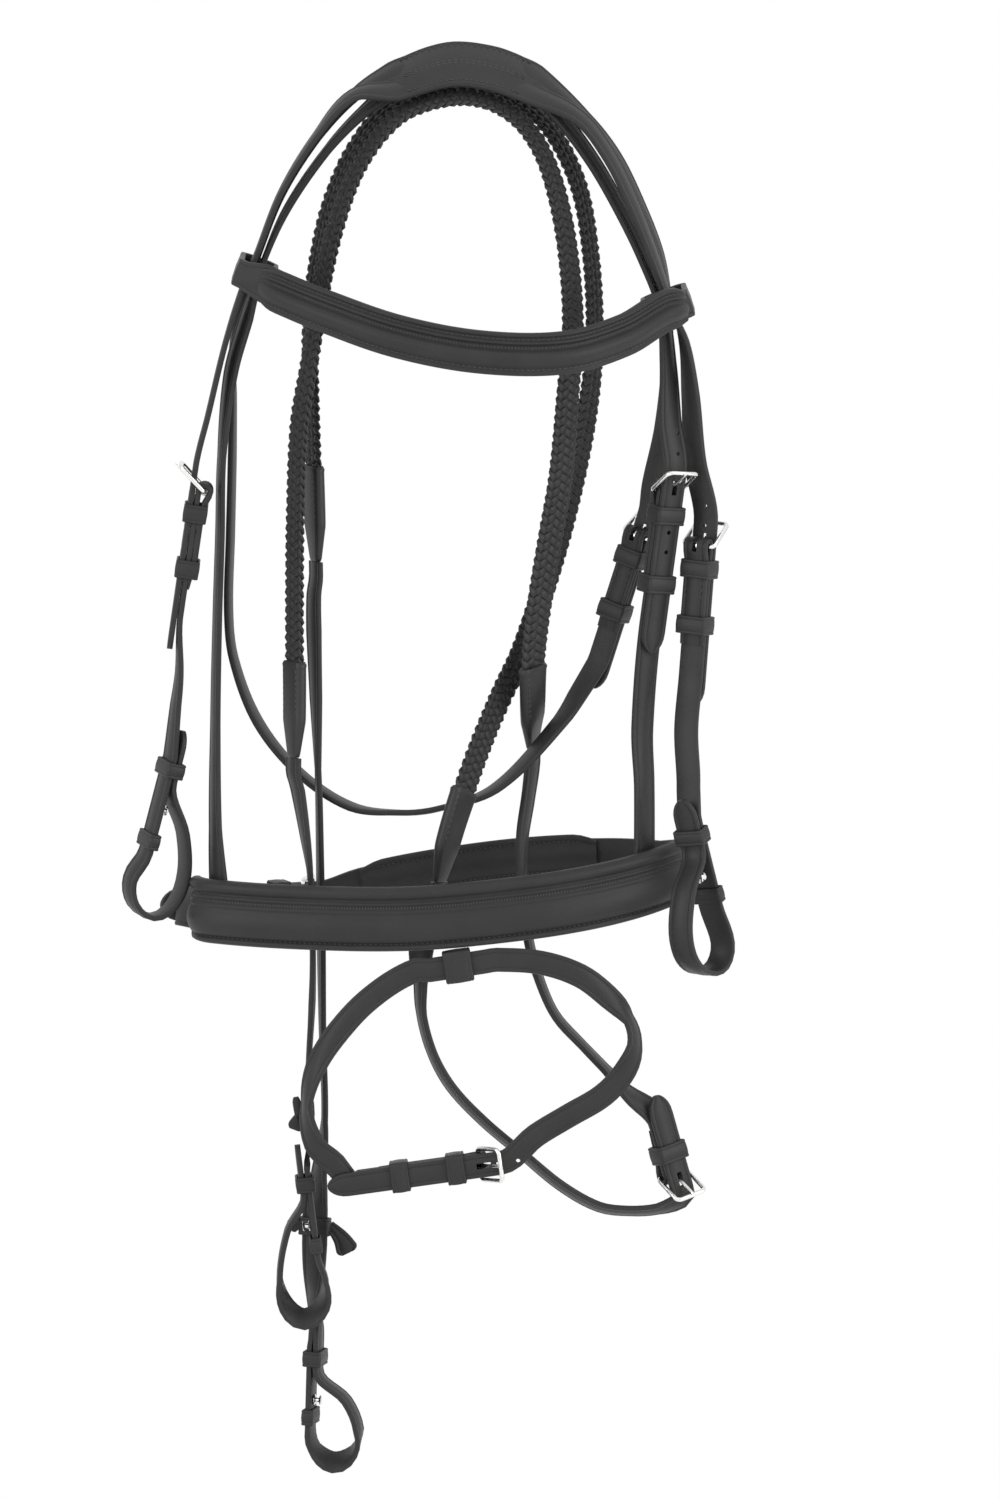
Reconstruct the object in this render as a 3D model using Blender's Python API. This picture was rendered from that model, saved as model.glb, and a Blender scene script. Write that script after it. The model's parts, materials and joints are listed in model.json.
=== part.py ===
"""A horse bridle with laced reins, hung from a hook under its crown.

The routes of the straps are drawn as they hang, seen from the front and a little
from above: across (to the right), down (from the hook) and back (away from the
viewer), in shares of one layout side. A strap is a flat ribbon carried along its
route. A buckle is built round its heel bar: the strap folds round the bar, the
billet lies on the outer layer, and two keepers hold the stack together.
"""
import math

import bmesh
import bpy
from mathutils import Matrix, Vector

# Layout of the hanging bridle
layout_side = 0.600
sight_angle_deg = 8.0

# Leather
strap_thickness = 0.0034
crown_thickness = 0.0042
cheek_width = 0.016
throat_width = 0.014
headstrap_width = 0.016
crown_width = 0.038
crown_slit = 0.0010
browband_height = 0.024
browband_pad_height = 0.026
browband_pad_bulge = 0.0075
nose_height = 0.036
nose_pad_height = 0.039
nose_pad_bulge = 0.0090
chin_width = 0.020
chin_pad_height = 0.026
chin_pad_bulge = 0.0050
flash_width = 0.0145
rein_width = 0.016
grip_width = 0.0195
grip_thickness = 0.0062
sleeve_width = 0.0200
sleeve_thickness = 0.0072
strap_step = 0.013
grip_step = 0.016
pad_step = 0.013

# Fits
clearance = 0.0004
pad_gap = 0.0007
crown_rest_gap = 0.0006
cut_overrun = 0.0010
weld_distance = 0.0000006

# Buckles
wire_radius = 0.0014
frame_length = 0.021
frame_side_clearance = 0.0010
frame_corner = 0.0020
frame_tilt_deg = 50.0
tongue_width = 0.0024
tongue_thickness = 0.0012
tongue_overhang = 0.0030
tongue_eye_deg = 250.0
tongue_slot_side = 0.0004
billet_hole_width = 0.0034
billet_hole_top = 0.0074
billet_hole_bottom = 0.0012
fold_return = 0.030
billet_rise = 0.013
stack_straight = 0.078

# Keepers
keeper_wall = 0.0020
keeper_length = 0.0110
fixed_keeper_place = 0.0140
running_keeper_place = 0.0480
hanger_running_place = 0.0560

# Bit ends of cheeks and reins
bit_rise = 0.010
bit_return = 0.024
bit_keeper_inset = 0.0075
stud_place = 0.026
stud_foot_radius = 0.0032
stud_foot_height = 0.0008
stud_neck_radius = 0.0014
stud_height = 0.0046
stud_head_radius = 0.0030
stud_head_height = 0.0012

# Flash loop
flash_loop_length = 0.017
flash_loop_wall = 0.0024

# Free ends of the billets, measured from the heel bar
billet_tail = 0.098
chin_tail = 0.090
flash_tail = 0.092
rein_tail = 0.050
rein_stack_straight = 0.032

# Browband loops and pads
left_loop_half_across = 0.0105
right_loop_half_across = 0.0130
loop_half_deep = 0.0235
loop_corner = 0.0040
loop_tuck = 0.0060
pad_fade_steps = 3
pad_fade_share = 0.75
pad_narrow_share = 0.25
headstrap_seat_gap = 0.0019
hanger_seat_gap = 0.0010

# Rein grips and stops
sleeve_length = 0.058
sleeve_taper = 0.022
sleeve_end_share = 0.55
grip_lead = 0.008
stop_flap_length = 0.010
stop_flap_root = 0.004
stop_flap_width = 0.016
stop_flap_drop = 0.012
stop_flap_thickness = 0.0022

TIP_SHARES = ((0.0, 1.0), (0.55, 0.80), (1.0, 0.34))
tip_length = 0.012

LEATHER = (0.024, 0.023, 0.023, 1.0)
LINING = (0.032, 0.030, 0.030, 1.0)
METAL = (0.78, 0.78, 0.76, 1.0)


# Scene and materials
def clear_scene():
    for item in list(bpy.data.objects):
        bpy.data.objects.remove(item, do_unlink=True)


def finish_of(name, colour, roughness, metallic):
    material = bpy.data.materials.new(name)
    material.use_nodes = True
    shader = material.node_tree.nodes["Principled BSDF"]
    shader.inputs["Base Color"].default_value = colour
    shader.inputs["Roughness"].default_value = roughness
    shader.inputs["Metallic"].default_value = metallic
    return material


def leather(name):
    return finish_of(name, LEATHER, 0.42, 0.0)


def lining(name):
    return finish_of(name, LINING, 0.60, 0.0)


def metal(name):
    return finish_of(name, METAL, 0.18, 1.0)


# Places and directions
def place(across, down, back):
    """A point of the front view at its depth, lowered so that it keeps its drawn height."""
    sight = math.radians(sight_angle_deg)
    height = (-down - back * math.sin(sight)) / math.cos(sight)
    return Vector((across, back, height)) * layout_side


def facing(round_deg, up_deg=0.0):
    """The outer side of a strap: 0 faces the viewer, 90 the right, -90 the left."""
    turn = math.radians(round_deg)
    lift = math.radians(up_deg)
    level = math.cos(lift)
    return Vector((math.sin(turn) * level, -math.cos(turn) * level, math.sin(lift)))


class Knot:
    """One point of a route: where it is, which way the outer side looks, how wide it is."""

    def __init__(self, at, face, width=None, straight=False):
        self.at = at
        self.face = face.normalized()
        self.width = width
        self.straight = straight


def knots(rows, width=None):
    """Rows of across, down, back, turn and, where it matters, lift of the outer side."""
    made = []
    for row in rows:
        lift = row[4] if len(row) > 4 else 0.0
        made.append(Knot(place(*row[:3]), facing(row[3], lift), width))
    return made


def smooth(route, step, first=0, last=None):
    """Stations along a soft curve through the knots; straight knots keep their line.

    The curve is that of the whole route, also where only a stretch of it is asked for.
    """
    count = len(route)
    last = count - 1 if last is None else last
    ways = []
    for i in range(count):
        before = route[max(i - 1, 0)].at
        after = route[min(i + 1, count - 1)].at
        if i + 1 < count and route[i].straight and route[i + 1].straight:
            before = route[i].at
        elif i > 0 and route[i].straight and route[i - 1].straight:
            after = route[i].at
        ways.append((after - before).normalized())
    stations = [route[first]]
    for i in range(first, last):
        a = route[i]
        b = route[i + 1]
        reach = (b.at - a.at).length
        steps = 1 if a.straight and b.straight else max(1, math.ceil(reach / step))
        for j in range(1, steps + 1):
            t = j / steps
            if a.straight and b.straight:
                at = a.at.lerp(b.at, t)
            else:
                at = (
                    a.at * (2 * t**3 - 3 * t**2 + 1)
                    + ways[i] * reach * (t**3 - 2 * t**2 + t)
                    + b.at * (3 * t**2 - 2 * t**3)
                    + ways[i + 1] * reach * (t**3 - t**2)
                )
            width = None
            if a.width is not None and b.width is not None:
                width = a.width + (b.width - a.width) * t
            stations.append(Knot(at, a.face.lerp(b.face, t), width, a.straight and b.straight))
    return stations


def axes_along(stations, closed=False):
    """Side, way and outward direction at every station of a route."""
    count = len(stations)
    found = []
    for i, station in enumerate(stations):
        if closed:
            before = stations[i - 1].at
            after = stations[(i + 1) % count].at
        else:
            before = stations[max(i - 1, 0)].at
            after = stations[min(i + 1, count - 1)].at
        first = station.at - before
        second = after - station.at
        way = Vector((0.0, 0.0, 0.0))
        for part in (first, second):
            if part.length > 0:
                way += part.normalized()
        way.normalize()
        side = way.cross(station.face).normalized()
        found.append((side, way, side.cross(way).normalized()))
    return found


# Building solids
def add_object(name, bm, material, pivot=None):
    bmesh.ops.recalc_face_normals(bm, faces=bm.faces[:])
    if pivot is not None:
        bmesh.ops.translate(bm, verts=bm.verts[:], vec=-pivot)
    mesh = bpy.data.meshes.new(name)
    bm.to_mesh(mesh)
    bm.free()
    mesh.materials.append(material)
    thing = bpy.data.objects.new(name, mesh)
    if pivot is not None:
        thing.location = pivot
    bpy.context.collection.objects.link(thing)
    return thing


def shade_round(thing, angle_deg=40.0):
    thing.data.shade_smooth()
    thing.data.set_sharp_from_angle(angle=math.radians(angle_deg))


def sweep(stations, section_at, closed=False):
    """Carry a closed section from station to station by extruding its face."""
    axes = axes_along(stations, closed)
    rings = []
    for i, (station, (side, way, out)) in enumerate(zip(stations, axes)):
        rings.append([station.at + side * u + out * v for u, v in section_at(i)])
    if closed:
        rings.append([point.copy() for point in rings[0]])
    bm = bmesh.new()
    first = bm.faces.new([bm.verts.new(point) for point in rings[0]])
    face = first
    inner = [first] if closed else []
    for ring in rings[1:]:
        grown = bmesh.ops.extrude_face_region(bm, geom=[face], use_keep_orig=True)
        if face is not first:
            inner.append(face)
        face = next(item for item in grown["geom"] if isinstance(item, bmesh.types.BMFace))
        for vert, point in zip(face.verts, ring):
            vert.co = point
    if closed:
        inner.append(face)
    bmesh.ops.delete(bm, geom=inner, context="FACES_ONLY")
    if closed:
        bmesh.ops.remove_doubles(bm, verts=bm.verts[:], dist=weld_distance)
    # Twisted faces of neighbours are split along the same diagonal, so that they stay apart
    sides = [item for item in bm.faces if len(item.verts) == 4]
    bmesh.ops.triangulate(bm, faces=sides, quad_method="SHORT_EDGE")
    return bm


def box_section(width, thickness):
    half = width / 2
    low = -thickness / 2
    high = thickness / 2
    return [(-half, low), (half, low), (half, high), (-half, high)]


def round_section(radius, sides):
    turns = [2 * math.pi * i / sides for i in range(sides)]
    return [(radius * math.cos(turn), radius * math.sin(turn)) for turn in turns]


def tapered(stations, width, ends):
    """Width at each station, drawn to a point over the tip length at the named ends."""
    lengths = [0.0]
    for a, b in zip(stations, stations[1:]):
        lengths.append(lengths[-1] + (b.at - a.at).length)
    total = lengths[-1]
    widths = []
    for station, length in zip(stations, lengths):
        own = width if station.width is None else station.width
        for end in ends:
            left = length if end == "start" else total - length
            if left < tip_length:
                own *= tip_share(1.0 - left / tip_length)
        widths.append(own)
    return widths


def tip_share(reach):
    for (a, wide_a), (b, wide_b) in zip(TIP_SHARES, TIP_SHARES[1:]):
        if reach <= b:
            return wide_a + (wide_b - wide_a) * (reach - a) / (b - a)
    return TIP_SHARES[-1][1]


def with_tip(route, end):
    """Add stations close to a pointed end, so that the point has its shape."""
    if end == "end":
        a, b = route[-2], route[-1]
    else:
        a, b = route[1], route[0]
    way = (a.at - b.at).normalized()
    extra = []
    for reach, _ in TIP_SHARES[1:-1]:
        extra.append(Knot(b.at + way * tip_length * (1 - reach), b.face, b.width, b.straight))
    foot = Knot(b.at + way * tip_length, b.face, b.width, b.straight)
    if end == "end":
        return route[:-1] + [foot] + extra[::-1] + [b]
    return [b] + extra + [foot] + route[1:]


def ribbon(name, route, width, thickness, material, tips=()):
    stations = smooth(route, strap_step)
    for end in tips:
        stations = with_tip(stations, end)
    widths = tapered(stations, width, tips)
    bm = sweep(stations, lambda i: box_section(widths[i], thickness))
    return add_object(name, bm, material)


def cut(thing, bm, name):
    """Take a closed shape out of a solid and throw the shape away."""
    cutter = add_object(name, bm, thing.data.materials[0])
    modifier = thing.modifiers.new("cut", "BOOLEAN")
    modifier.operation = "DIFFERENCE"
    modifier.solver = "EXACT"
    modifier.object = cutter
    bake(thing, cutter)


def join(thing, other):
    modifier = thing.modifiers.new("join", "BOOLEAN")
    modifier.operation = "UNION"
    modifier.solver = "EXACT"
    modifier.object = other
    bake(thing, other)


def bake(thing, helper):
    graph = bpy.context.evaluated_depsgraph_get()
    mesh = bpy.data.meshes.new_from_object(thing.evaluated_get(graph))
    thing.modifiers.clear()
    thing.data = mesh
    bpy.data.objects.remove(helper, do_unlink=True)


def block(centre, axes, sizes):
    """A closed box with its sizes along three directions."""
    bm = bmesh.new()
    bmesh.ops.create_cube(bm, size=1.0)
    turn = Matrix([axes[0] * sizes[0], axes[1] * sizes[1], axes[2] * sizes[2]]).transposed()
    bmesh.ops.transform(bm, matrix=Matrix.Translation(centre) @ turn.to_4x4(), verts=bm.verts[:])
    return bm


# Keepers, frames and tongues
def rounded_corners(half_a, half_b, corner, per_corner):
    points = []
    centres = ((1, 1, 0), (-1, 1, 90), (-1, -1, 180), (1, -1, 270))
    for sign_a, sign_b, start in centres:
        for k in range(per_corner):
            turn = math.radians(start + 90.0 * k / (per_corner - 1))
            a = sign_a * (half_a - corner) + corner * math.cos(turn)
            b = sign_b * (half_b - corner) + corner * math.sin(turn)
            points.append((a, b))
    return points


def keeper(name, centre, way, out, hole_width, hole_height, material, wall=None, length=None):
    """A flat leather loop round a stack of straps; the hole has its own size."""
    wall = keeper_wall if wall is None else wall
    length = keeper_length if length is None else length
    side = way.cross(out).normalized()
    half_a = hole_width / 2 + wall / 2
    half_b = hole_height / 2 + wall / 2
    stations = []
    for a, b in rounded_corners(half_a, half_b, wall / 2, 2):
        at = centre + side * a + out * b
        away = side * (a / half_a) + out * (b / half_b)
        stations.append(Knot(at, away))
    bm = sweep(stations, lambda i: box_section(length, wall), closed=True)
    return add_object(name, bm, material, pivot=centre)


class Buckle:
    """Where a buckle sits: its heel bar, the way of its own strap and its outer side."""

    def __init__(self, heel, way, out, width, straight, running):
        self.heel = heel
        self.way = way.normalized()
        self.out = (out - self.way * out.dot(self.way)).normalized()
        self.width = width
        self.straight = straight
        self.running = running
        self.side = self.way.cross(self.out).normalized()
        self.layer = wire_radius + clearance + strap_thickness / 2
        self.billet_layer = self.layer + strap_thickness + clearance

    def fold_knots(self):
        """The strap's own end: inner layer, round the bar, then the outer layer."""
        inner = self.heel - self.out * self.layer
        made = [Knot(inner + self.way * fold_return, -self.out, self.width, True)]
        made.append(Knot(inner, -self.out, self.width, True))
        turns = 4
        for k in range(1, turns):
            turn = math.pi * k / turns
            away = -self.out * math.cos(turn) - self.way * math.sin(turn)
            made.append(Knot(self.heel + away * self.layer, away, self.width, True))
        outer = self.heel + self.out * self.layer
        made.append(Knot(outer, self.out, self.width, True))
        made.append(Knot(outer + self.way * self.straight, self.out, self.width, True))
        return made

    def billet_knots(self, tail):
        """The billet's straight run over the fold, ending at its tip."""
        line = self.heel + self.out * self.billet_layer
        return [
            Knot(line - self.way * billet_rise, self.out, self.width, True),
            Knot(line + self.way * tail, self.out, self.width, True),
        ]

    def slot_fold(self, strap):
        """Open the fold where the tongue's eye goes round the heel bar."""
        low = self.layer + strap_thickness / 2 + cut_overrun
        high = wire_radius + clearance + tongue_thickness + clearance
        centre = self.heel + self.way * (high - low) / 2
        slot = tongue_width + 2 * tongue_slot_side
        sizes = (slot, high + low, 2 * self.layer + strap_thickness + 2 * cut_overrun)
        cut(strap, block(centre, (self.side, self.way, self.out), sizes), "slot")

    def hole_billet(self, strap):
        """The oval hole that the tongue goes through, with room for its small lift."""
        centre = self.heel + self.out * self.billet_layer
        centre += self.way * (billet_hole_bottom - billet_hole_top) / 2
        sizes = (billet_hole_width, billet_hole_top + billet_hole_bottom, strap_thickness + 2 * cut_overrun)
        cut(strap, block(centre, (self.side, self.way, self.out), sizes), "hole")

    def frame_way(self):
        tilt = math.radians(frame_tilt_deg)
        return self.out * math.sin(tilt) - self.way * math.cos(tilt)

    def add_frame(self, name):
        ahead = self.frame_way()
        half_a = self.width / 2 + frame_side_clearance + wire_radius
        half_b = frame_length / 2
        middle = self.heel + ahead * half_b
        stations = []
        for a, b in rounded_corners(half_a, half_b, frame_corner, 3):
            at = middle + self.side * a + ahead * b
            stations.append(Knot(at, self.side * (a / half_a) + ahead * (b / half_b)))
        bm = sweep(stations, lambda i: round_section(wire_radius, 6), closed=True)
        thing = add_object(name, bm, metal(name), pivot=self.heel)
        shade_round(thing, 70.0)
        return thing

    def add_tongue(self, name):
        ahead = self.frame_way()
        above = ahead.cross(self.side)
        if above.dot(self.out) < 0:
            above = -above
        radius = wire_radius + clearance + tongue_thickness / 2
        stations = []
        turns = 9
        for k in range(turns):
            turn = math.radians(-tongue_eye_deg * (1.0 - k / (turns - 1)))
            away = above * math.cos(turn) + ahead * math.sin(turn)
            stations.append(Knot(self.heel + away * radius, away))
        tip = self.heel + above * radius + ahead * (frame_length + tongue_overhang)
        stations.append(Knot(tip, above))
        bm = sweep(stations, lambda i: box_section(tongue_width, tongue_thickness))
        thing = add_object(name, bm, metal(name), pivot=self.heel)
        shade_round(thing, 50.0)
        return thing

    def add_keeper(self, name, along):
        """A keeper round the whole stack: both layers of the fold and the billet."""
        low = -self.layer - strap_thickness / 2 - clearance
        high = self.billet_layer + strap_thickness / 2 + clearance
        centre = self.heel + self.way * along + self.out * (high + low) / 2
        hole_width = self.width + 2 * clearance
        return keeper(name, centre, self.way, self.out, hole_width, high - low, leather(name))

    def add_outer_keeper(self, name, along):
        """A keeper past the fold's end, round the single strap and the billet."""
        low = self.layer - strap_thickness / 2 - clearance
        high = self.billet_layer + strap_thickness / 2 + clearance
        centre = self.heel + self.way * along + self.out * (high + low) / 2
        hole_width = self.width + 2 * clearance
        return keeper(name, centre, self.way, self.out, hole_width, high - low, leather(name))

    def add_hardware(self, stem):
        self.add_frame(stem + "_buckle_frame")
        self.add_tongue(stem + "_buckle_tongue")
        self.add_keeper(stem + "_fixed_keeper", fixed_keeper_place)
        if self.running is not None:
            self.add_outer_keeper(stem + "_running_keeper", self.running)


def way_between(a, b):
    return (place(*b) - place(*a)).normalized()


# The places of the seven buckles, in shares of the layout side
left_cheek_heel_share = (-0.2460, 0.3860, -0.0220)
left_cheek_way_share = (-0.2600, 0.4810, -0.0220)
right_cheek_heel_share = (0.2490, 0.4410, -0.0100)
right_cheek_way_share = (0.2410, 0.5450, -0.0140)
throat_heel_share = (0.1870, 0.4300, 0.0300)
throat_way_share = (0.1550, 0.5300, 0.0330)
hanger_heel_share = (0.2160, 0.3860, -0.0060)
hanger_way_share = (0.2020, 0.4900, -0.0060)
chin_heel_share = (-0.1500, 0.7980, 0.0960)
chin_way_share = (-0.2340, 0.8020, 0.0600)
flash_heel_share = (0.0290, 1.0620, -0.0760)
flash_way_share = (-0.0350, 1.0710, -0.0740)
rein_heel_share = (0.2230, 1.0740, -0.0160)
rein_way_share = (0.2050, 1.0100, -0.0160)

# The places where the bit ends begin and where their loops open
LEFT_HOLD_SHARE = (-0.2840, 0.6640, -0.0260)
LEFT_LOW_SHARE = (-0.3060, 0.7480, -0.0260)
RIGHT_HOLD_SHARE = (0.2440, 0.7310, -0.0560)
RIGHT_LOW_SHARE = (0.2620, 0.8030, -0.0440)
LEFT_REIN_HOLD_SHARE = (-0.1430, 1.0820, -0.0430)
LEFT_REIN_LOW_SHARE = (-0.1340, 1.1560, -0.0440)
RIGHT_REIN_HOLD_SHARE = (-0.1400, 1.2600, -0.0050)
RIGHT_REIN_LOW_SHARE = (-0.1420, 1.3320, -0.0060)
LEFT_STOP_SHARE = (-0.1430, 1.0100, -0.0440)
LEFT_STOP_WAY_SHARE = (-0.1430, 1.0820, -0.0440)
RIGHT_STOP_SHARE = (-0.1370, 1.1270, -0.0030)
RIGHT_STOP_WAY_SHARE = (-0.1380, 1.1800, -0.0030)

# The places where the hanging straps end inside the noseband, with their turn
headstrap_seat_share = (-0.2380, 0.8000, -0.0450, -46.0)
hanger_seat_share = (0.2000, 0.7800, -0.0380, 44.0)


def buckle_at(heel_share, way_share, turn_deg, width, straight, running):
    way = way_between(heel_share, way_share)
    return Buckle(place(*heel_share), way, facing(turn_deg), width, straight, running)


# Bit ends: the strap's straight run, its loop and its returned point
class BitEnd:
    def __init__(self, hold_share, low_share, turn_deg, width):
        self.hold = place(*hold_share)
        self.low = place(*low_share)
        self.way = (self.low - self.hold).normalized()
        out = facing(turn_deg)
        self.out = (out - self.way * out.dot(self.way)).normalized()
        self.width = width
        self.pitch = strap_thickness + clearance

    def run_knots(self):
        return [
            Knot(self.hold - self.way * bit_rise, self.out, self.width, True),
            Knot(self.low, self.out, self.width, True),
        ]

    def return_knots(self):
        line = self.hold - self.out * self.pitch
        return [
            Knot(line + self.way * bit_rise, -self.out, self.width, True),
            Knot(line - self.way * bit_return, -self.out, self.width, True),
        ]

    def add_upper_keeper(self, name):
        low = -self.pitch - strap_thickness / 2 - clearance
        high = strap_thickness / 2 + clearance
        centre = self.hold + self.out * (high + low) / 2
        keeper(name, centre, self.way, self.out, self.width + 2 * clearance, high - low, leather(name))

    def add_lower_keeper(self, name):
        centre = self.low - self.way * bit_keeper_inset
        height = strap_thickness + 2 * clearance
        keeper(name, centre, self.way, self.out, self.width + 2 * clearance, height, leather(name))

    def add_stud(self, name):
        """A round stud on the inner face: foot, neck and head turned in one."""
        foot = self.hold + self.way * stud_place - self.out * (strap_thickness / 2 + clearance)
        profile = [
            (0.0, 0.0),
            (stud_foot_radius, 0.0),
            (stud_foot_radius, stud_foot_height),
            (stud_neck_radius, stud_foot_height),
            (stud_neck_radius, stud_height - stud_head_height),
            (stud_head_radius, stud_height - stud_head_height),
            (stud_head_radius, stud_height),
            (0.0, stud_height),
        ]
        bm = bmesh.new()
        verts = [bm.verts.new((r, 0.0, h)) for r, h in profile]
        edges = [bm.edges.new(pair) for pair in zip(verts, verts[1:])]
        bmesh.ops.spin(
            bm,
            geom=verts + edges,
            cent=(0.0, 0.0, 0.0),
            axis=(0.0, 0.0, 1.0),
            angle=2 * math.pi,
            steps=10,
            use_merge=True,
        )
        bmesh.ops.remove_doubles(bm, verts=bm.verts[:], dist=weld_distance)
        turn = Vector((0.0, 0.0, 1.0)).rotation_difference(-self.out).to_matrix().to_4x4()
        bmesh.ops.transform(bm, matrix=Matrix.Translation(foot) @ turn, verts=bm.verts[:])
        shade_round(add_object(name, bm, metal(name)))

    def add_fittings(self, stem):
        self.add_upper_keeper(stem + "_upper_bit_keeper")
        self.add_lower_keeper(stem + "_lower_bit_keeper")
        self.add_stud(stem + "_hook_stud")


# Headpiece and the straps that share its crown
CROWN_SHARES = (
    (-0.056, -0.022, 0.000, -35.0, 52.0),
    (0.000, -0.039, 0.000, 0.0, 54.0),
    (0.046, -0.034, 0.000, 12.0, 54.0),
    (0.084, -0.019, 0.000, 40.0, 48.0),
)
LEFT_CHEEK_BILLET_SHARES = (
    (-0.2420, 0.3100, -0.0200, -90.0),
    (-0.2250, 0.2400, -0.0180, -90.0),
    (-0.2080, 0.1850, -0.0170, -90.0),
    (-0.1940, 0.1520, -0.0165, -90.0),
    (-0.1690, 0.0890, -0.0165, -88.0, 25.0),
    (-0.1335, 0.0320, -0.0165, -84.0, 35.0),
    (-0.0970, -0.0080, -0.0165, -68.0, 46.0),
)
RIGHT_CHEEK_BILLET_SHARES = (
    (0.1290, 0.0140, -0.0140, 58.0, 40.0),
    (0.1590, 0.0520, -0.0150, 62.0, 34.0),
    (0.1830, 0.1000, -0.0160, 66.0, 26.0),
    (0.2030, 0.1500, -0.0165, 72.0, 14.0),
    (0.2190, 0.1960, -0.0150, 80.0),
    (0.2340, 0.2350, -0.0120, 104.0),
    (0.2410, 0.2900, -0.0080, 126.0),
    (0.2455, 0.3550, 0.0000, 142.0),
)
LEFT_THROAT_SHARES = (
    (0.1350, 0.5790, 0.0330, 145.0, -16.0),
    (0.1100, 0.6180, 0.0150, 140.0, -34.0),
    (0.0460, 0.6840, 0.0000, 155.0, -56.0),
    (-0.0120, 0.7050, 0.0010, 178.0, -68.0),
    (-0.0500, 0.7090, 0.0050, 190.0, -70.0),
    (-0.1000, 0.7030, 0.0120, 200.0, -66.0),
    (-0.1530, 0.6680, 0.0210, 230.0, -48.0),
    (-0.1940, 0.6170, 0.0230, 255.0, -22.0),
    (-0.2180, 0.5540, 0.0210, 260.0),
    (-0.2230, 0.5060, 0.0170, 259.0),
    (-0.2210, 0.4300, 0.0180, 259.0),
    (-0.2190, 0.3530, 0.0180, 260.0),
    (-0.2180, 0.2900, 0.0185, 264.0),
    (-0.2180, 0.2350, 0.0185, 272.0),
    (-0.2050, 0.1860, 0.0180, 270.0),
    (-0.1930, 0.1520, 0.0175, 270.0),
    (-0.1680, 0.0890, 0.0170, 272.0, 25.0),
    (-0.1320, 0.0320, 0.0165, 276.0, 35.0),
    (-0.0950, -0.0100, 0.0170, 300.0, 46.0),
)
RIGHT_THROAT_SHARES = (
    (0.1360, 0.0140, 0.0170, 60.0, 40.0),
    (0.1660, 0.0520, 0.0180, 64.0, 34.0),
    (0.1900, 0.1000, 0.0190, 68.0, 26.0),
    (0.2100, 0.1500, 0.0195, 76.0, 14.0),
    (0.2190, 0.1960, 0.0195, 88.0),
    (0.2190, 0.2450, 0.0230, 106.0),
    (0.2150, 0.3200, 0.0340, 135.0),
    (0.2030, 0.3800, 0.0400, 145.0),
)
HEADSTRAP_LEFT_SHARES = (
    (-0.2360, 0.7250, -0.0290, -68.0),
    (-0.2360, 0.6200, -0.0160, -76.0),
    (-0.2340, 0.5160, -0.0060, -78.0),
    (-0.2310, 0.4300, -0.0080, -78.0),
    (-0.2290, 0.3530, -0.0110, -80.0),
    (-0.2200, 0.2700, -0.0110, -90.0),
    (-0.2040, 0.2130, -0.0100, -90.0),
    (-0.1870, 0.1580, -0.0060, -88.0),
    (-0.1630, 0.1040, 0.0000, -84.0, 25.0),
    (-0.1230, 0.0460, 0.0000, -82.0, 36.0),
    (-0.0880, 0.0090, -0.0005, -68.0, 48.0),
)
HEADSTRAP_RIGHT_SHARES = (
    (0.1110, 0.0140, 0.0000, 57.0, 41.0),
    (0.1440, 0.0580, 0.0000, 62.0, 32.0),
    (0.1720, 0.1070, 0.0000, 66.0, 22.0),
    (0.1940, 0.1530, -0.0020, 70.0, 8.0),
    (0.2125, 0.2030, -0.0060, 72.0),
    (0.2185, 0.2600, -0.0095, 58.0),
    (0.2210, 0.3200, -0.0120, 38.0),
)


def crown_line(out_shift, side_shift):
    """The crown's middle line, moved along its outward and its side direction."""
    middle = smooth(knots(CROWN_SHARES), strap_step)
    moved = []
    for knot, (side, way, out) in zip(middle, axes_along(middle)):
        moved.append(Knot(knot.at + out * out_shift + side * side_shift, out))
    return moved


def add_headpiece(left_cheek, right_cheek, throat):
    aside = (crown_width + crown_slit) / 4
    front = left_cheek.billet_knots(billet_tail)[::-1]
    front += knots(LEFT_CHEEK_BILLET_SHARES)
    front += crown_line(0.0, aside)
    front += knots(RIGHT_CHEEK_BILLET_SHARES)
    front += right_cheek.billet_knots(billet_tail)
    rear = throat.fold_knots()
    rear += knots(LEFT_THROAT_SHARES, throat_width)
    rear += crown_line(0.0, -aside)
    rear += knots(RIGHT_THROAT_SHARES, throat_width)
    rear += throat.billet_knots(billet_tail)
    material = leather("headpiece")
    whole = ribbon("headpiece", front, cheek_width, strap_thickness, material, ("start", "end"))
    back = ribbon("throat_half", rear, throat_width, strap_thickness, material, ("end",))
    patch = ribbon("crown_patch", crown_line(0.0, 0.0), crown_width, crown_thickness, material)
    join(whole, back)
    join(whole, patch)
    throat.slot_fold(whole)
    for buckle in (left_cheek, right_cheek, throat):
        buckle.hole_billet(whole)


def add_headstrap(hanger):
    under = -(crown_thickness + strap_thickness) / 2 - crown_rest_gap
    route = knots(HEADSTRAP_LEFT_SHARES)
    route = [band_seat(headstrap_seat_share, headstrap_seat_gap)] + route
    route += crown_line(under, 0.0)
    route += knots(HEADSTRAP_RIGHT_SHARES)
    route += hanger.billet_knots(billet_tail)
    thing = ribbon(
        "noseband_headstrap", route, headstrap_width, strap_thickness, leather("headstrap"), ("end",)
    )
    hanger.hole_billet(thing)


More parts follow.
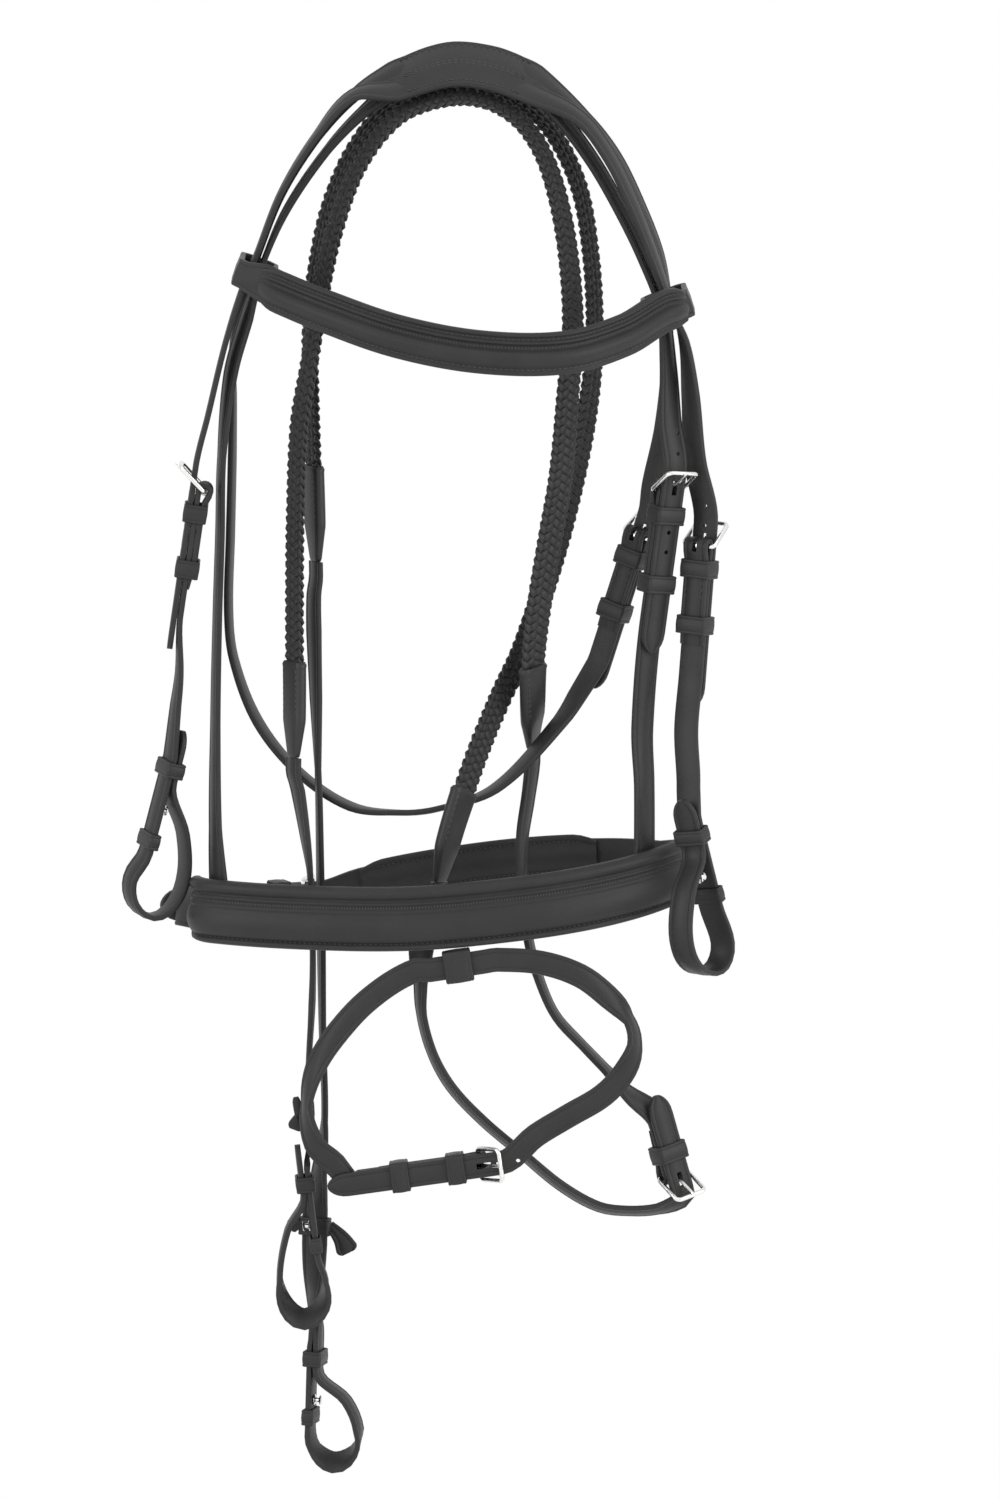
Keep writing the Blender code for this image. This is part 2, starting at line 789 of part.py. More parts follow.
# Browband: a band that bows forward, its ends looped round the hanging straps
BROW_SHARES = (
    (-0.1860, 0.1800, -0.0560, -38.0),
    (-0.1700, 0.1880, -0.0700, -32.0),
    (-0.1220, 0.2090, -0.1060, -22.0),
    (-0.0500, 0.2350, -0.1380, -10.0),
    (0.0300, 0.2505, -0.1520, 0.0),
    (0.1120, 0.2510, -0.1400, 12.0),
    (0.1700, 0.2330, -0.1020, 30.0),
    (0.2100, 0.2080, -0.0600, 46.0),
    (0.2240, 0.2040, -0.0470, 47.0),
)
LEFT_LOOP_SHARE = (-0.1955, 0.1700, 0.0000)
LEFT_LOOP_WAY_SHARE = (-0.2110, 0.2110, 0.0000)
RIGHT_LOOP_SHARE = (0.2180, 0.2020, 0.0010)
RIGHT_LOOP_WAY_SHARE = (0.2330, 0.2430, 0.0010)


def loop_end(centre_share, way_share, sign, half_out):
    """The band's end: in behind the front, along the inside, round the back, out along the outside."""
    centre = place(*centre_share)
    down = way_between(centre_share, way_share)
    back = Vector((0.0, 1.0, 0.0))
    out = back.cross(down).normalized() * sign
    if out.x * sign < 0:
        out = -out
    made = []
    half_back = loop_half_deep
    cut_corner = loop_corner
    places = (
        (-half_out, -half_back + loop_tuck, -1, 0),
        (-half_out, half_back - cut_corner, -1, 0),
        (-half_out + cut_corner, half_back, 0, 1),
        (half_out - cut_corner, half_back, 0, 1),
        (half_out, half_back - cut_corner, 1, 0),
        (half_out, -half_back + cut_corner, 1, 0),
        (half_out - cut_corner, -half_back, 0, -1),
    )
    for a, b, face_a, face_b in places:
        at = centre + out * a + back * b
        made.append(Knot(at, out * face_a + back * face_b, browband_height, True))
    return made


def brow_route():
    left = loop_end(LEFT_LOOP_SHARE, LEFT_LOOP_WAY_SHARE, -1.0, left_loop_half_across)
    right = loop_end(RIGHT_LOOP_SHARE, RIGHT_LOOP_WAY_SHARE, 1.0, right_loop_half_across)
    return left, knots(BROW_SHARES, browband_height), right[::-1]


PAD_PROFILE_SHARES = (
    (-0.50, 0.00),
    (-0.50, 0.18),
    (-0.45, 0.36),
    (-0.40, 0.30),
    (-0.28, 0.84),
    (-0.12, 1.00),
    (0.04, 0.74),
    (0.10, 0.46),
    (0.26, 0.42),
    (0.31, 0.30),
    (0.38, 0.62),
    (0.46, 0.56),
    (0.50, 0.28),
    (0.50, 0.00),
)


def pad(name, stations, height, bulge, seat, up_sign):
    """A crowned pad on the face of a band: lip, swell, stitched flat, groove and rolled edge."""
    count = len(stations)

    def section(i):
        reach = min(i, count - 1 - i) / pad_fade_steps
        full = 1.0 if reach >= 1.0 else 1.0 - pad_fade_share * (1.0 - reach) ** 2
        tall = height * (1.0 - (1.0 - full) * pad_narrow_share)
        return [(u * tall * up_sign, seat + v * bulge * full) for u, v in PAD_PROFILE_SHARES]

    thing = add_object(name, sweep(stations, section), lining(name))
    shade_round(thing, 50.0)
    return thing


def add_browband():
    left, bow, right = brow_route()
    route = left + bow + right
    ribbon("browband", route, browband_height, strap_thickness, leather("browband"))
    front = smooth(route, strap_step, len(left), len(left) + len(bow) - 1)
    seat = strap_thickness / 2 + pad_gap
    pad("browband_pad", front, browband_pad_height, browband_pad_bulge, seat, -1.0)


# Noseband: one strap like a belt, buckled under the jaw
BAND_SHARES = (
    (-0.2530, 0.8020, 0.0020, -98.0, 0.0, 0.86),
    (-0.2380, 0.8070, -0.0450, -52.0, 0.0, 0.95),
    (-0.1460, 0.8130, -0.0850, -18.0, 0.0, 1.00),
    (-0.0400, 0.8140, -0.1000, -4.0, 0.0, 1.00),
    (0.0650, 0.8045, -0.0960, 8.0, 0.0, 1.00),
    (0.1410, 0.7925, -0.0740, 25.0, 0.0, 1.00),
    (0.2000, 0.7770, -0.0380, 50.0, 0.0, 0.95),
    (0.2300, 0.7620, 0.0120, 90.0, 0.0, 0.86),
    (0.2120, 0.7560, 0.0520, 130.0, 0.0, 0.62),
    (0.1500, 0.7520, 0.0900, 158.0, 0.0, 0.56),
    (0.0700, 0.7560, 0.1100, 172.0, 0.0, 0.56),
    (-0.0200, 0.7680, 0.1180, 182.0, 0.0, 0.56),
    (-0.0900, 0.7820, 0.1130, 194.0, 0.0, 0.56),
)
NOSE_PAD_LAST_ROW = 7
CHIN_PAD_FIRST_ROW = 9
CHIN_PAD_LAST_ROW = 12


def band_knots(rows):
    made = []
    for across, down, back, turn, lift, high_share in rows:
        made.append(Knot(place(across, down, back), facing(turn, lift), nose_height * high_share))
    return made


def band_seat(seat_share, gap):
    """Where a hanging strap ends, flat against the inside of the noseband."""
    across, down, back, turn = seat_share
    inside = strap_thickness + gap
    return Knot(place(across, down, back) - facing(turn) * inside, facing(turn))


def add_noseband(chin):
    chin_front = [Knot(knot.at, knot.face, chin_width, knot.straight) for knot in chin.fold_knots()]
    route = chin_front + band_knots(BAND_SHARES)
    route += chin.billet_knots(chin_tail)
    thing = ribbon("noseband", route, chin_width, strap_thickness, leather("noseband"), ("end",))
    chin.slot_fold(thing)
    chin.hole_billet(thing)
    lead = len(chin_front)
    front = smooth(route, strap_step, lead, lead + NOSE_PAD_LAST_ROW)
    seat = strap_thickness / 2 + pad_gap
    pad("noseband_pad", front, nose_pad_height, nose_pad_bulge, seat, -1.0)
    rear = smooth(route, strap_step, lead + CHIN_PAD_FIRST_ROW, lead + CHIN_PAD_LAST_ROW)
    rear = [Knot(knot.at, -knot.face) for knot in rear]
    pad("chin_pad", rear, chin_pad_height, chin_pad_bulge, seat, 1.0)


# Right hanger of the noseband
HANGER_SHARES = (
    (0.1930, 0.6240, -0.0120, 40.0),
    (0.1950, 0.6820, -0.0200, 46.0),
)


def add_hanger(hanger):
    route = hanger.fold_knots() + knots(HANGER_SHARES, headstrap_width)
    route += [band_seat(hanger_seat_share, hanger_seat_gap)]
    thing = ribbon("noseband_hanger", route, headstrap_width, strap_thickness, leather("hanger"))
    hanger.slot_fold(thing)
    hanger.add_hardware("noseband_hanger")


# Cheekpieces
LEFT_CHEEK_SHARES = (
    (-0.2720, 0.5700, -0.0240, -80.0),
    (-0.2775, 0.6160, -0.0250, -70.0),
)
LEFT_BIT_LOOP_SHARES = (
    (-0.3220, 0.7760, -0.0260, -65.0),
    (-0.3190, 0.8010, -0.0240, -65.0, -45.0),
    (-0.3000, 0.8140, -0.0200, -65.0, -90.0),
    (-0.2800, 0.8020, -0.0160, 115.0, -45.0),
    (-0.2680, 0.7720, -0.0140, 115.0),
    (-0.2690, 0.7300, -0.0160, 115.0),
)
RIGHT_CHEEK_SHARES = (
    (0.2370, 0.6250, -0.0260, 150.0),
    (0.2390, 0.6700, -0.0400, 150.0),
)
RIGHT_BIT_LOOP_SHARES = (
    (0.2740, 0.8400, -0.0390, 150.0),
    (0.2690, 0.8620, -0.0460, 150.0, -45.0),
    (0.2540, 0.8690, -0.0640, 150.0, -90.0),
    (0.2380, 0.8570, -0.0880, -30.0, -45.0),
    (0.2310, 0.8300, -0.0960, -30.0),
    (0.2340, 0.7900, -0.0880, -30.0),
)


def add_cheek(stem, buckle, upper_shares, bit_end, loop_shares):
    route = buckle.fold_knots() + knots(upper_shares)
    route += bit_end.run_knots() + knots(loop_shares)
    route += bit_end.return_knots()
    thing = ribbon(stem + "_strap", route, cheek_width, strap_thickness, leather(stem), ("end",))
    buckle.slot_fold(thing)
    buckle.add_hardware(stem)
    bit_end.add_fittings(stem)


# Flash strap and its loop
FLASH_SHARES = (
    (-0.1160, 1.0620, -0.0820, 0.0),
    (-0.1360, 1.0420, -0.0860, -30.0),
    (-0.1440, 1.0020, -0.0920, -72.0),
    (-0.1330, 0.9600, -0.0940, -40.0),
    (-0.1000, 0.9140, -0.0980, -10.0),
    (-0.0660, 0.8840, -0.1020, 0.0),
    (-0.0330, 0.8660, -0.1040, 0.0),
)
FLASH_RIGHT_SHARES = (
    (0.0470, 0.8560, -0.1020, 0.0),
    (0.0910, 0.8590, -0.1000, 0.0),
    (0.1300, 0.8720, -0.0960, 10.0),
    (0.1580, 0.8930, -0.0920, 34.0),
    (0.1790, 0.9160, -0.0900, 76.0),
    (0.1850, 0.9400, -0.0890, 60.0),
    (0.1760, 0.9670, -0.0880, 20.0),
    (0.1540, 0.9920, -0.0880, 0.0),
    (0.1190, 1.0130, -0.0880, 0.0),
    (0.0860, 1.0330, -0.0880, 0.0),
)
FLASH_LOOP_SHARE = (0.0080, 0.8620, -0.1040)
FLASH_LOOP_WAY_SHARE = (0.0270, 0.8590, -0.1040)


def add_flash(flash):
    way = way_between(FLASH_LOOP_SHARE, FLASH_LOOP_WAY_SHARE)
    middle = place(*FLASH_LOOP_SHARE)
    half = flash_loop_length
    through = [
        Knot(middle - way * half, facing(0.0), flash_width, True),
        Knot(middle + way * half, facing(0.0), flash_width, True),
    ]
    route = flash.fold_knots() + knots(FLASH_SHARES, flash_width) + through
    route += knots(FLASH_RIGHT_SHARES, flash_width) + flash.billet_knots(flash_tail)
    thing = ribbon("flash_strap", route, flash_width, strap_thickness, leather("flash"), ("end",))
    flash.slot_fold(thing)
    flash.hole_billet(thing)
    flash.add_hardware("flash")
    keeper(
        "flash_loop",
        middle,
        way,
        facing(0.0),
        flash_width + 2 * clearance,
        strap_thickness + 2 * clearance,
        leather("flash_loop"),
        wall=flash_loop_wall,
        length=flash_loop_length,
    )


# Reins
LEFT_GRIP_SHARES = (
    (-0.1570, 0.6530, -0.0450, -62.0),
    (-0.1560, 0.6060, -0.0430, -60.0),
    (-0.1560, 0.5540, -0.0420, -58.0),
    (-0.1560, 0.4960, -0.0400, -58.0),
    (-0.1550, 0.4110, -0.0380, -58.0),
    (-0.1510, 0.3200, -0.0340, -58.0),
    (-0.1410, 0.2600, -0.0320, -60.0),
    (-0.1260, 0.1710, -0.0300, -60.0),
    (-0.1120, 0.1160, -0.0300, -62.0, 10.0),
    (-0.0940, 0.0690, -0.0290, -62.0, 28.0),
    (-0.0700, 0.0320, -0.0290, -56.0, 46.0),
    (-0.0440, 0.0080, -0.0240, -38.0, 58.0),
    (0.0020, -0.0070, -0.0170, 0.0, 60.0),
    (0.0400, -0.0020, -0.0170, 30.0, 60.0),
    (0.0700, 0.0170, -0.0180, 52.0, 44.0),
    (0.0920, 0.0480, -0.0180, 58.0, 24.0),
    (0.1070, 0.0900, -0.0170, 56.0, 8.0),
    (0.1180, 0.1480, -0.0160, 54.0),
    (0.1230, 0.2200, -0.0150, 50.0),
    (0.1180, 0.2900, -0.0130, 46.0),
    (0.1110, 0.3700, -0.0110, 42.0),
    (0.1010, 0.4300, -0.0100, 40.0),
    (0.0910, 0.4900, -0.0100, 40.0),
    (0.0840, 0.5500, -0.0060, 44.0),
    (0.0830, 0.6000, 0.0120, 50.0),
    (0.0830, 0.6420, 0.0370, 60.0),
)
RIGHT_GRIP_SHARES = (
    (-0.1350, 0.4560, 0.0020, -66.0),
    (-0.1360, 0.4080, 0.0020, -64.0),
    (-0.1380, 0.3500, 0.0020, -62.0),
    (-0.1400, 0.2800, 0.0020, -62.0),
    (-0.1400, 0.2100, 0.0040, -64.0),
    (-0.1310, 0.1400, 0.0060, -66.0),
    (-0.1170, 0.0880, 0.0060, -66.0, 16.0),
    (-0.0940, 0.0400, 0.0080, -64.0, 34.0),
    (-0.0600, 0.0020, 0.0120, -50.0, 52.0),
    (0.0000, -0.0200, 0.0160, 0.0, 60.0),
    (0.0480, -0.0160, 0.0160, 32.0, 60.0),
    (0.0860, 0.0080, 0.0160, 54.0, 44.0),
    (0.1120, 0.0420, 0.0160, 60.0, 26.0),
    (0.1310, 0.0880, 0.0170, 62.0, 8.0),
    (0.1410, 0.1480, 0.0190, 62.0),
    (0.1450, 0.2100, 0.0210, 60.0),
    (0.1430, 0.2650, 0.0230, 56.0),
    (0.1360, 0.3160, 0.0250, 50.0),
    (0.1250, 0.3700, 0.0260, 46.0),
    (0.1100, 0.4300, 0.0260, 44.0),
    (0.0920, 0.4900, 0.0260, 44.0),
    (0.0710, 0.5500, 0.0230, 46.0),
    (0.0520, 0.5900, 0.0140, 48.0),
    (0.0310, 0.6400, -0.0140, 48.0),
    (0.0130, 0.6900, -0.0340, 48.0),
    (-0.0010, 0.7350, -0.0380, 52.0),
    (-0.0110, 0.7780, -0.0360, 56.0),
)
LEFT_BIT_STRAP_SHARES = (
    (-0.1530, 0.6860, -0.0430, -64.0),
    (-0.1450, 0.7370, -0.0430, -76.0),
    (-0.1400, 0.7790, -0.0430, -90.0),
    (-0.1380, 0.8460, -0.0430, -90.0),
    (-0.1390, 0.9000, -0.0430, -94.0),
    (-0.1420, 0.9560, -0.0430, -90.0),
)
LEFT_REIN_LOOP_SHARES = (
    (-0.1260, 1.1800, -0.0440, 92.0),
    (-0.1290, 1.2060, -0.0440, 125.0, -35.0),
    (-0.1470, 1.2200, -0.0440, 180.0, -50.0),
    (-0.1650, 1.2070, -0.0440, -125.0, -35.0),
    (-0.1720, 1.1780, -0.0440, -88.0),
    (-0.1640, 1.1300, -0.0440, -88.0),
)
RIGHT_BIT_STRAP_SHARES = (
    (-0.1370, 0.4900, 0.0000, -64.0),
    (-0.1370, 0.5260, -0.0020, -62.0),
    (-0.1350, 0.5950, -0.0060, -70.0),
    (-0.1330, 0.6650, -0.0100, -86.0),
    (-0.1320, 0.6990, -0.0110, -84.0),
    (-0.1310, 0.7670, -0.0100, -82.0),
    (-0.1300, 0.8460, -0.0080, -80.0),
    (-0.1290, 0.9300, -0.0060, -84.0),
    (-0.1270, 1.0200, -0.0040, -86.0),
    (-0.1330, 1.0760, -0.0030, -60.0),
)
RIGHT_REIN_LOOP_SHARES = (
    (-0.1380, 1.3520, -0.0070, -112.0, -30.0),
    (-0.1180, 1.3670, -0.0110, 180.0, -50.0),
    (-0.0980, 1.3560, -0.0160, 102.0, -25.0),
    (-0.0930, 1.3340, -0.0170, 76.0),
    (-0.1050, 1.3040, -0.0140, 76.0),
)
LEFT_HAND_SHARES = (
    (0.0790, 0.6900, 0.0370, 66.0),
    (0.0720, 0.7400, 0.0140, 70.0),
    (0.0740, 0.7960, -0.0180, 74.0),
    (0.0790, 0.8380, -0.0260, 78.0),
    (0.0890, 0.8750, -0.0280, 78.0),
    (0.1060, 0.9130, -0.0280, 74.0),
    (0.1330, 0.9430, -0.0270, 72.0),
    (0.1560, 0.9670, -0.0255, 70.0),
    (0.1780, 0.9910, -0.0235, 62.0),
)
RIGHT_HAND_SHARES = (
    (-0.0210, 0.8150, -0.0350, 60.0),
    (-0.0290, 0.8440, -0.0340, 64.0),
    (-0.0300, 0.8800, -0.0330, 66.0),
    (-0.0290, 0.9120, -0.0320, 66.0),
    (-0.0180, 0.9520, -0.0300, 62.0),
    (0.0010, 0.9860, -0.0290, 58.0),
    (0.0330, 1.0200, -0.0280, 55.0),
    (0.0720, 1.0530, -0.0270, 55.0),
    (0.1120, 1.0860, -0.0250, 60.0, -20.0),
    (0.1500, 1.1070, -0.0240, 64.0, -52.0),
    (0.1810, 1.1110, -0.0250, 60.0, -60.0),
    (0.2090, 1.1090, -0.0260, 54.0, -52.0),
    (0.2310, 1.1010, -0.0270, 42.0, -28.0),
)


def add_grip(name, rows):
    """The laced middle of a rein between its two plain sleeves."""
    stations = smooth(knots(rows), grip_step)
    lengths = [0.0]
    for a, b in zip(stations, stations[1:]):
        lengths.append(lengths[-1] + (b.at - a.at).length)
    total = lengths[-1]

    def section(i):
        near = min(lengths[i], total - lengths[i])
        if near > sleeve_length:
            return box_section(grip_width, grip_thickness)
        fade = sleeve_end_share + (1.0 - sleeve_end_share) * min(1.0, near / sleeve_taper)
        return box_section(sleeve_width * fade, sleeve_thickness * fade)

    return add_object(name, sweep(stations, section), leather(name))


def strap_from_grip(rows):
    """The first knots of a strap that goes on from a grip's end, square to it."""
    stations = smooth(knots(rows), grip_step)
    last = stations[-1]
    way = (last.at - stations[-2].at).normalized()
    near = last.at + way * clearance
    return [Knot(near, last.face, None, True), Knot(near + way * grip_lead, last.face, None, True)]


def add_reins(left_end, right_end, left_stop, right_stop, centre):
    add_grip("left_rein_grip", LEFT_GRIP_SHARES)
    add_grip("right_rein_grip", RIGHT_GRIP_SHARES)
    left_route = strap_from_grip(LEFT_GRIP_SHARES[::-1]) + knots(LEFT_BIT_STRAP_SHARES)
    left_route += left_stop.run_knots() + left_end.run_knots()
    left_route += knots(LEFT_REIN_LOOP_SHARES) + left_end.return_knots()
    right_route = strap_from_grip(RIGHT_GRIP_SHARES[::-1]) + knots(RIGHT_BIT_STRAP_SHARES)
    right_route += right_stop.run_knots() + right_end.run_knots()
    right_route += knots(RIGHT_REIN_LOOP_SHARES) + right_end.return_knots()
    for stem, route, bit_end in (
        ("left_rein", left_route, left_end),
        ("right_rein", right_route, right_end),
    ):
        ribbon(stem + "_bit_strap", route, rein_width, strap_thickness, leather(stem), ("end",))
        bit_end.add_fittings(stem)
    route = centre.fold_knots() + knots(LEFT_HAND_SHARES)[::-1]
    route += strap_from_grip(LEFT_GRIP_SHARES)[::-1]
    thing = ribbon("left_rein_hand_strap", route, rein_width, strap_thickness, leather("left_hand"))
    centre.slot_fold(thing)
    route = strap_from_grip(RIGHT_GRIP_SHARES) + knots(RIGHT_HAND_SHARES)
    route += centre.billet_knots(rein_tail)
    thing = ribbon(
        "right_rein_hand_strap", route, rein_width, strap_thickness, leather("right_hand"), ("end",)
    )
    centre.hole_billet(thing)
    centre.add_hardware("rein")


class Stop:
    """A leather stop: a short loop on the rein with a flap that flares to one side."""

    def __init__(self, centre_share, way_share, turn_deg, flap_turn_deg):
        self.centre = place(*centre_share)
        self.way = way_between(centre_share, way_share)
        out = facing(turn_deg)
        self.out = (out - self.way * out.dot(self.way)).normalized()
        flap = facing(flap_turn_deg)
        self.flap = (flap - self.way * flap.dot(self.way)).normalized()

    def run_knots(self):
        half = self.way * keeper_length
        return [
            Knot(self.centre - half, self.out, None, True),
            Knot(self.centre + half, self.out, None, True),
        ]

    def add(self, name):
        side = self.way.cross(self.out)
        width = rein_width + 2 * clearance
        height = strap_thickness + 2 * clearance
        thing = keeper(name, self.centre, self.way, self.out, width, height, leather(name))
        reach = width * abs(side.dot(self.flap)) + height * abs(self.out.dot(self.flap))
        reach = (reach + keeper_wall) / 2
        face = self.way.cross(self.flap)
        root = self.centre + self.flap * reach
        end = root + self.flap * stop_flap_length + self.way * stop_flap_drop
        flap = [Knot(root, face, stop_flap_root), Knot(end, face, stop_flap_width)]
        bm = sweep(flap, lambda i: box_section(flap[i].width, stop_flap_thickness))
        join(thing, add_object(name + "_flap", bm, thing.data.materials[0]))


def build():
    clear_scene()
    usual = (stack_straight, running_keeper_place)
    left_cheek = buckle_at(left_cheek_heel_share, left_cheek_way_share, -90.0, cheek_width, *usual)
    right_cheek = buckle_at(right_cheek_heel_share, right_cheek_way_share, 150.0, cheek_width, *usual)
    throat = buckle_at(throat_heel_share, throat_way_share, 150.0, throat_width, *usual)
    raised = (stack_straight, hanger_running_place)
    hanger = buckle_at(hanger_heel_share, hanger_way_share, 35.0, headstrap_width, *raised)
    chin = buckle_at(chin_heel_share, chin_way_share, -153.0, chin_width, *usual)
    flash = buckle_at(flash_heel_share, flash_way_share, 0.0, flash_width, *usual)
    short = (rein_stack_straight, None)
    centre = buckle_at(rein_heel_share, rein_way_share, 34.0, rein_width, *short)
    add_headpiece(left_cheek, right_cheek, throat)
    throat.add_hardware("throatlash")
    add_headstrap(hanger)
    add_browband()
    add_noseband(chin)
    chin.add_hardware("chin")
    add_hanger(hanger)
    left_bit = BitEnd(LEFT_HOLD_SHARE, LEFT_LOW_SHARE, -65.0, cheek_width)
    right_bit = BitEnd(RIGHT_HOLD_SHARE, RIGHT_LOW_SHARE, 150.0, cheek_width)
    add_cheek("left_cheek", left_cheek, LEFT_CHEEK_SHARES, left_bit, LEFT_BIT_LOOP_SHARES)
    add_cheek("right_cheek", right_cheek, RIGHT_CHEEK_SHARES, right_bit, RIGHT_BIT_LOOP_SHARES)
    add_flash(flash)
    left_rein = BitEnd(LEFT_REIN_HOLD_SHARE, LEFT_REIN_LOW_SHARE, 92.0, rein_width)
    right_rein = BitEnd(RIGHT_REIN_HOLD_SHARE, RIGHT_REIN_LOW_SHARE, -104.0, rein_width)
    left_stop = Stop(LEFT_STOP_SHARE, LEFT_STOP_WAY_SHARE, -88.0, -90.0)
    right_stop = Stop(RIGHT_STOP_SHARE, RIGHT_STOP_WAY_SHARE, -20.0, 90.0)
    add_reins(left_rein, right_rein, left_stop, right_stop, centre)
    left_stop.add("left_rein_stop")
    right_stop.add("right_rein_stop")


build()
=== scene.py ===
# %% [markdown]
# # A horse bridle with laced reins
#
# A bridle is a set of leather straps that hangs on the horse's head and carries the bit.
# This one hangs from a hook by its crown, with the reins thrown over the same hook.
# The straps were laid out in a CAD model first. This lesson dresses that model: each solid
# gets a finer piece in its place, with rounded edges, creases, stitches, holes and grain.

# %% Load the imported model
import json
import math
from bisect import bisect_right

import bmesh
import bpy
from mathutils import Matrix, Vector


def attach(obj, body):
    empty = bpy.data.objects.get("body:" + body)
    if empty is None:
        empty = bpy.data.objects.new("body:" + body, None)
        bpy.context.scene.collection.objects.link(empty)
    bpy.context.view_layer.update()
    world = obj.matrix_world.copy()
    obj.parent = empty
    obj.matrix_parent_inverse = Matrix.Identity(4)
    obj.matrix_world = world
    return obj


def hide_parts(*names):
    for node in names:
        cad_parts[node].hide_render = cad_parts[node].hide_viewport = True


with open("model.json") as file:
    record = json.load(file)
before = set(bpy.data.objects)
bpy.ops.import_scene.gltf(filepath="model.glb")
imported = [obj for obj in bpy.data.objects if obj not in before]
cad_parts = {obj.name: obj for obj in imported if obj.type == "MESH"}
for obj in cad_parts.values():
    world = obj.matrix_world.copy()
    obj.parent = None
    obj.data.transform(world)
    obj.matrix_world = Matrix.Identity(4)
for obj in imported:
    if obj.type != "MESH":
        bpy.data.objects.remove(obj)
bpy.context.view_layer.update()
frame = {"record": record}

# %% [markdown]
# ## Sums on shader sockets
#
# A material is a small net of nodes. Wiring Math nodes by hand is slow to read, so a short
# class wraps a socket and lets Python's own signs add the nodes: `1 - mask * 0.5` is then
# two nodes. Every other node comes from one method, which sets the node's own options
# first and its sockets after.

# %% A socket that can be added and multiplied
class Sum:
    """A number in a material: adding to it or multiplying it adds a Math node."""

    def __init__(self, finish, socket):
        self.finish = finish
        self.socket = socket

    def math(self, operation, first, second=0.0, clamp=False):
        settings = {"operation": operation, "use_clamp": clamp}
        return self.finish.node("ShaderNodeMath", settings, {0: first, 1: second})

    def __add__(self, other):
        return self.math("ADD", self, other)

    def __mul__(self, other):
        return self.math("MULTIPLY", self, other)

    def __sub__(self, other):
        return self.math("SUBTRACT", self, other)

    def __rsub__(self, other):
        return self.math("SUBTRACT", other, self)

    __radd__ = __add__
    __rmul__ = __mul__

    def over(self, low, high):
        """0 at low, 1 at high, held in between."""
        return self.math("DIVIDE", self - low, high - low, clamp=True)


class Finish:
    """The node tree of one material, or of the world."""

    def __init__(self, owner):
        owner.use_nodes = True
        self.owner = owner
        self.tree = owner.node_tree
        self.tree.nodes.clear()

    def node(self, kind, settings=None, inputs=None, out=0):
        """Add a node and give back one of its outputs as a sum."""
        node = self.tree.nodes.new(kind)
        for key, value in (settings or {}).items():
            setattr(node, key, value)
        for key, value in (inputs or {}).items():
            if isinstance(value, Sum):
                self.tree.links.new(value.socket, node.inputs[key])
            else:
                node.inputs[key].default_value = value
        return Sum(self, node.outputs[out]) if node.outputs else None

    def blend(self, share, first, second):
        """A colour between two colours."""
        settings = {"data_type": "RGBA", "blend_type": "MIX"}
        return self.node("ShaderNodeMix", settings, {0: share, 6: first, 7: second}, out=2)

    def place(self):
        return self.node("ShaderNodeTexCoord", out="Object")

    def noise(self, where, scale, detail, roughness):
        inputs = {"Vector": where, "Scale": scale, "Detail": detail, "Roughness": roughness}
        return self.node("ShaderNodeTexNoise", None, inputs, out="Fac")

    def bump(self, height, strength, distance):
        inputs = {"Height": height, "Strength": strength, "Distance": distance}
        return self.node("ShaderNodeBump", None, inputs, out="Normal")

    def surface(self, **sockets):
        """A Principled shader with these sockets, joined to the material's output."""
        inputs = {key.replace("_", " "): value for key, value in sockets.items()}
        shader = self.node("ShaderNodeBsdfPrincipled", None, inputs)
        self.node("ShaderNodeOutputMaterial", None, {"Surface": shader})
        return self.owner


print("shader sums ready")

# %% [markdown]
# ## Black bridle leather
#
# Bridle leather is cow hide, dyed through, waxed and pressed smooth. Seen close up it has a
# fine pebble grain, a soft sheen, and slightly duller, browner places where it has been
# handled. The cut edges are inked and polished. The grain is a cell pattern of about a
# millimetre with finer noise on top, as bump, because it is far too small to model. The
# grooves between the pebbles are also painted a little darker: that is painted shade.

# %% The leathers
BLACK = (0.0225, 0.0218, 0.0217, 1.0)
WORN_BLACK = (0.029, 0.0278, 0.0274, 1.0)
# A slightly darker black painted into the grooves between the pebbles: painted shade.
GROOVE_SHADE_BLACK = (0.020, 0.0195, 0.0195, 1.0)
pebble_depth = 0.00025


def leather(name, dull, sheen, grain, cell):
    """Waxed black leather; dull is its mean roughness, grain the strength of its pebbles."""
    made = Finish(bpy.data.materials.new(name))
    where = made.place()
    patches = made.noise(where, scale=34.0, detail=4.0, roughness=0.6)
    fine = made.noise(where, scale=900.0, detail=2.0, roughness=0.5)
    settings = {"feature": "F1", "distance": "EUCLIDEAN"}
    inputs = {"Vector": where, "Scale": cell}
    pebble = made.node("ShaderNodeTexVoronoi", settings, inputs, out="Distance")
    colour = made.blend(patches.over(0.42, 0.72) * 0.8, BLACK, WORN_BLACK)
    return made.surface(
        # The grooves between the pebbles, where the bump is lowest, get the darker black: painted
        # shade.
        Base_Color=made.blend(pebble.over(0.45, 0.9) * 0.35, colour, GROOVE_SHADE_BLACK),
        Roughness=dull + (patches - 0.5) * 0.16 + pebble * 0.06,
        Normal=made.bump((1.0 - pebble) * 0.7 + fine * 0.3, grain, pebble_depth),
        Specular_IOR_Level=sheen,
    )


strap_leather = leather("bridle_leather", dull=0.42, sheen=0.26, grain=0.35, cell=1100.0)
pad_leather = leather("padding_leather", dull=0.46, sheen=0.24, grain=0.45, cell=900.0)
plait_leather = leather("plaited_leather", dull=0.46, sheen=0.30, grain=0.40, cell=1300.0)
sleeve_leather = leather("sleeve_leather", dull=0.36, sheen=0.30, grain=0.25, cell=1300.0)
print("leathers", strap_leather.name, pad_leather.name, plait_leather.name, sleeve_leather.name)

# %% [markdown]
# ## Thread and steel
#
# The stitches are waxed black thread, a little paler than the leather because the twist
# scatters light. Buckles, tongues and hook studs are polished stainless steel: nearly white,
# fully metallic, with faint rubbing that changes only the roughness.

